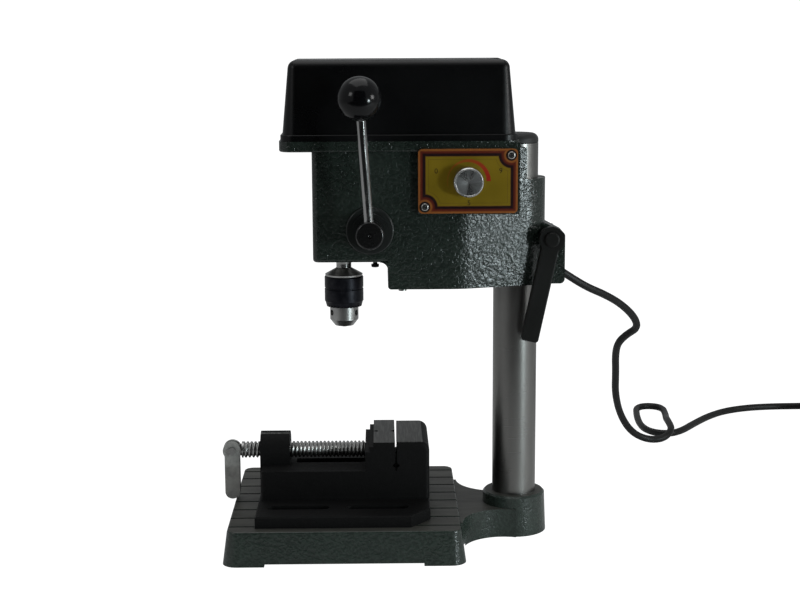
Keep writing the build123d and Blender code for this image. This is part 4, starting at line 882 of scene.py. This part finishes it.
def rib_tree():
    """Node tree that stands ribs round a turned part and joins them to it."""
    tree = bpy.data.node_groups.new("knob_ribs", "GeometryNodeTree")
    tree.interface.new_socket("Geometry", in_out="INPUT", socket_type="NodeSocketGeometry")
    for name, kind, value in (
            ("Radius", "NodeSocketFloat", 9 * MM), ("Rib size", "NodeSocketFloat", 0.4 * MM),
            ("Rib length", "NodeSocketFloat", 8 * MM), ("Lift", "NodeSocketFloat", 4 * MM),
            ("Count", "NodeSocketInt", 64), ("Finish", "NodeSocketMaterial", None)):
        made = tree.interface.new_socket(name, in_out="INPUT", socket_type=kind)
        if value is not None:
            made.default_value = value
    tree.interface.new_socket("Geometry", in_out="OUTPUT", socket_type="NodeSocketGeometry")
    nodes, links = tree.nodes, tree.links
    given = nodes.new("NodeGroupInput").outputs
    result = nodes.new("NodeGroupOutput")
    circle = nodes.new("GeometryNodeMeshCircle")
    links.new(given["Count"], circle.inputs["Vertices"])
    links.new(given["Radius"], circle.inputs["Radius"])
    rib = nodes.new("GeometryNodeMeshCylinder")
    rib.inputs["Vertices"].default_value = 3
    links.new(given["Rib size"], rib.inputs["Radius"])
    links.new(given["Rib length"], rib.inputs["Depth"])
    out = nodes.new("GeometryNodeInputPosition")
    aim = nodes.new("FunctionNodeAlignRotationToVector")
    aim.axis = "X"
    links.new(out.outputs[0], aim.inputs["Vector"])
    ribs = nodes.new("GeometryNodeInstanceOnPoints")
    links.new(circle.outputs["Mesh"], ribs.inputs["Points"])
    links.new(rib.outputs["Mesh"], ribs.inputs["Instance"])
    links.new(aim.outputs["Rotation"], ribs.inputs["Rotation"])
    lift = nodes.new("ShaderNodeCombineXYZ")
    links.new(given["Lift"], lift.inputs["Z"])
    raised = nodes.new("GeometryNodeTransform")
    links.new(ribs.outputs["Instances"], raised.inputs["Geometry"])
    links.new(lift.outputs[0], raised.inputs["Translation"])
    together = nodes.new("GeometryNodeJoinGeometry")
    links.new(raised.outputs["Geometry"], together.inputs[0])
    links.new(given["Geometry"], together.inputs[0])
    real = nodes.new("GeometryNodeRealizeInstances")
    links.new(together.outputs[0], real.inputs[0])
    coat = nodes.new("GeometryNodeSetMaterial")
    links.new(real.outputs[0], coat.inputs["Geometry"])
    links.new(given["Finish"], coat.inputs["Material"])
    links.new(coat.outputs[0], result.inputs[0])
    return tree


def run_tree(mesh, tree, name, **values):
    """Plain mesh of a tree run on a mesh, its inputs given by their names."""
    maker = bpy.data.objects.new(name, mesh)
    bpy.context.collection.objects.link(maker)
    modifier = maker.modifiers.new("made", "NODES")
    modifier.node_group = tree
    keys = {item.name: item.identifier for item in tree.interface.items_tree
            if item.item_type == "SOCKET" and item.in_out == "INPUT"}
    for key, value in values.items():
        modifier[keys[key.replace("_", " ").capitalize()]] = value
    return frozen(maker, name)


class DRILLPRESS_OT_knob(bpy.types.Operator):
    """Spun aluminium speed knob with a ribbed rim"""
    bl_idname = "drillpress.knob"
    bl_label = "Speed knob"

    def execute(self, context):
        s = context.scene.drillpress_panel
        low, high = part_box("speed_knob")
        centre = middle("speed_knob")
        r = (high.x - low.x) / 2
        length = high.y - low.y
        core = r - s.rib_depth
        lip, bevel, step = 0.9 * MM, 0.4 * MM, 0.25 * MM
        bore, floor, dish, dimple = 3.2 * MM, length - 2 * MM, length - 0.35 * MM, length - 0.5 * MM
        profile = [(bore, 0.0), (core - bevel, 0.0), (core, bevel), (core, length - 1.2 * MM),
                   (core - step, length - 0.9 * MM), (core - step, length - 0.3 * MM),
                   (core - 0.6 * MM, length), (core - lip, length), (core - lip - 0.3 * MM, dish),
                   (1.6 * MM, dish), (0.9 * MM, dimple), (0, dimple)]
        hollow = [(bore, 0.0), (bore, floor), (0, floor)]
        build = mesh_from("knob_core", lambda bm: (
            lathe(bm, Vector(), Vector((0, 0, 1)), profile, 96),
            lathe(bm, Vector(), Vector((0, 0, 1)), hollow, 96)))
        finish = spun_face("spun_aluminium", centre)
        mesh = run_tree(build, rib_tree(), "speed_knob_turned", radius=core - 0.05 * MM,
                        rib_size=s.rib_depth + 0.03 * MM, rib_length=length - 2.2 * MM,
                        lift=length / 2 - 0.2 * MM, count=s.ribs, finish=finish)
        mesh.transform(Matrix.Translation((centre.x, high.y, centre.z))
                       @ Matrix.Rotation(pi / 2, 4, "X"))
        mesh.set_sharp_from_angle(angle=radians(30))
        piece("speed_knob_turned", mesh, "speed", finish, ["speed_knob"])
        return {"FINISHED"}


class DRILLPRESS_OT_feed(bpy.types.Operator):
    """Feed collar, hub, lever and ball, and the spring on the far side"""
    bl_idname = "drillpress.feed"
    bl_label = "Feed lever"

    def execute(self, context):
        dress(moulded("collar_black", (0.010, 0.012, 0.011), 0.34, coat=0.3), "feed_collar", "spring_cap")
        dress(moulded("hub_black", (0.006, 0.006, 0.006), 0.26, coat=0.4, relief=0.02 * MM), "feed_hub")
        dress(bright_bar("lever_plating"), "feed_rod")
        dress(phenolic("ball_phenolic"), "ball_knob")
        dress(machined("pinion_steel", (0.40, 0.40, 0.39)), "pinion_shaft", "return_spring")
        dress(oxide("screw_oxide"), "hub_set_screw", "limit_screw")
        return {"FINISHED"}


class DRILLPRESS_OT_chuck(bpy.types.Operator):
    """Quill, spindle and the three-jaw chuck"""
    bl_idname = "drillpress.chuck"
    bl_label = "Quill and chuck"

    def execute(self, context):
        dress(machined("quill_steel", (0.42, 0.42, 0.41), 0.24), "quill", "quill_bearings", "spindle",
              "spindle_circlip")
        dress(machined("chuck_steel", (0.40, 0.40, 0.39), 0.3), "chuck_body")
        dress(oxide("sleeve_oxide"), "chuck_sleeve")
        dress(machined("jaw_steel", (0.30, 0.30, 0.29), 0.3), "chuck_jaw_1", "chuck_jaw_2", "chuck_jaw_3")
        return {"FINISHED"}


class DRILLPRESS_OT_clamp(bpy.types.Operator):
    """Clamp bolt and the lever that closes the head's ears"""
    bl_idname = "drillpress.clamp"
    bl_label = "Clamp"

    def execute(self, context):
        dress(moulded("lever_plastic", (0.006, 0.0062, 0.0055), 0.42, skin=0.5 * MM, specular=0.22),
              "clamp_lever", "clamp_lever_cap")
        dress(machined("bolt_steel", (0.36, 0.36, 0.35)), "clamp_bolt")
        return {"FINISHED"}


def thread_form(bm, x0, x1, z, crest, root, pitch, steps=40):
    """Helical thread along X between x0 and x1."""
    form = ((0.0, root), (0.18, root), (0.42, crest), (0.76, crest), (1.0, root))
    first = x0 - 1.5 * pitch
    count = int((x1 - first + 1.5 * pitch) / pitch * steps)
    rows = []
    for k in range(count + 1):
        turn = 2 * pi * k / steps
        rows.append([bm.verts.new((first + pitch * (k / steps + share), r * sin(turn), z + r * cos(turn)))
                     for share, r in form])
    for a, b in zip(rows, rows[1:]):
        for j in range(len(form) - 1):
            bm.faces.new((a[j], a[j + 1], b[j + 1], b[j]))
    bmesh.ops.remove_doubles(bm, verts=bm.verts, dist=1e-6)
    for at, keep in ((x0, 1), (x1, -1)):
        cut = bmesh.ops.bisect_plane(bm, geom=bm.verts[:] + bm.edges[:] + bm.faces[:], dist=1e-7,
                                     plane_co=(at, 0, z), plane_no=(-keep, 0, 0), clear_outer=True)
        rim = [e for e in cut["geom_cut"] if isinstance(e, bmesh.types.BMEdge)]
        bmesh.ops.holes_fill(bm, edges=rim, sides=0)


class DRILLPRESS_OT_vise_screw(bpy.types.Operator):
    """Vise screw with its thread cut, and the eye and neck at its ends"""
    bl_idname = "drillpress.vise_screw"
    bl_label = "Vise screw"

    def execute(self, context):
        s = context.scene.drillpress_vise
        low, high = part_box("vise_screw")
        eye_l = 12.2 * MM
        crest = (high.y - low.y) / 2
        z = (low.z + high.z) / 2
        thread_start = low.x + eye_l
        thread_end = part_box("moving_jaw")[0].x - 0.4 * MM
        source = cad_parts["vise_screw"].data

        def build(bm):
            bm.from_mesh(source)
            bmesh.ops.remove_doubles(bm, verts=bm.verts, dist=1e-6)
            spare = bm.copy()
            bm.clear()
            self.kept_end(bm, spare, low.x - 1 * MM, thread_start)
            self.kept_end(bm, spare, thread_end, high.x + 1 * MM)
            spare.free()
            turned = bmesh.new()
            thread_form(turned, thread_start, thread_end, z, crest, crest - s.depth, s.pitch)
            self.join(bm, turned)

        mesh = mesh_from("vise_screw_cut", build)
        piece("vise_screw_cut", mesh, "vise_spindle", machined("screw_steel", (0.40, 0.40, 0.39), 0.3),
              ["vise_screw"])
        return {"FINISHED"}

    def join(self, bm, other):
        spare = bpy.data.meshes.new("spare")
        other.to_mesh(spare)
        other.free()
        bm.from_mesh(spare)
        bpy.data.meshes.remove(spare)

    def kept_end(self, bm, source, x0, x1):
        """The stretch of the source between x0 and x1, closed at its cuts."""
        part = source.copy()
        for at, side in ((x0, -1), (x1, 1)):
            cut = bmesh.ops.bisect_plane(part, geom=part.verts[:] + part.edges[:] + part.faces[:], dist=1e-7,
                                         plane_co=(at, 0, 0), plane_no=(side, 0, 0), clear_outer=True)
            rim = [e for e in cut["geom_cut"] if isinstance(e, bmesh.types.BMEdge)]
            if rim:
                bmesh.ops.holes_fill(part, edges=rim, sides=0)
        self.join(bm, part)


class DRILLPRESS_OT_vise(bpy.types.Operator):
    """Black cast vise with milled tops and guide ways"""
    bl_idname = "drillpress.vise"
    bl_label = "Vise"

    def execute(self, context):
        s = context.scene.drillpress_vise
        jaw_low, jaw_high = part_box("moving_jaw")
        tops = ((jaw_high.z, (jaw_high.y - jaw_low.y) / 2 + 0.5 * MM), (s.bed_top, s.way_half))
        dress(black_casting("vise_casting", s.casting, tops),
              "vise_body", "moving_jaw")
        dress(machined("keeper_steel", (0.30, 0.30, 0.29)), "vise_keeper", "screw_retainer", "handle_pin")
        dress(machined("keeper_screw_steel", (0.20, 0.20, 0.20)), "keeper_screws")
        dress(zinc_cast("handle_zinc"), "vise_handle")
        return {"FINISHED"}


# ---- panel and registration ------------------------------------------------

PIECES = (DRILLPRESS_OT_stage, DRILLPRESS_OT_cord, DRILLPRESS_OT_castings, DRILLPRESS_OT_column,
          DRILLPRESS_OT_drive, DRILLPRESS_OT_panel, DRILLPRESS_OT_knob, DRILLPRESS_OT_feed,
          DRILLPRESS_OT_chuck, DRILLPRESS_OT_clamp, DRILLPRESS_OT_vise_screw, DRILLPRESS_OT_vise)
SETTINGS = {"drillpress_casting": CastingSettings, "drillpress_cover": CoverSettings,
            "drillpress_panel": PanelSettings, "drillpress_vise": ViseSettings,
            "drillpress_cord": CordSettings, "drillpress_stage": StageSettings}


class VIEW3D_PT_drillpress(bpy.types.Panel):
    """Lists the drill press's pieces in the order they are made"""
    bl_label = "Drill press"
    bl_space_type = "VIEW_3D"
    bl_region_type = "UI"
    bl_category = "Drill press"

    def draw(self, context):
        for piece_class in PIECES:
            self.layout.operator(piece_class.bl_idname)
        for name, kind in SETTINGS.items():
            box = self.layout.box()
            for key in kind.__annotations__:
                box.prop(getattr(context.scene, name), key)


def register():
    for kind in (*SETTINGS.values(), *PIECES, VIEW3D_PT_drillpress):
        bpy.utils.register_class(kind)
    for name, kind in SETTINGS.items():
        setattr(bpy.types.Scene, name, bpy.props.PointerProperty(type=kind))


def unregister():
    for name in SETTINGS:
        delattr(bpy.types.Scene, name)
    for kind in reversed((*SETTINGS.values(), *PIECES, VIEW3D_PT_drillpress)):
        bpy.utils.unregister_class(kind)


def main():
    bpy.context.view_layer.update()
    register()
    bpy.ops.drillpress.stage()
    bpy.ops.drillpress.cord()
    bpy.ops.drillpress.castings()
    bpy.ops.drillpress.column()
    bpy.ops.drillpress.drive()
    bpy.ops.drillpress.panel()
    bpy.ops.drillpress.knob()
    bpy.ops.drillpress.feed()
    bpy.ops.drillpress.chuck()
    bpy.ops.drillpress.clamp()
    bpy.ops.drillpress.vise_screw()
    bpy.ops.drillpress.vise()


if __name__ == "__main__":
    main()
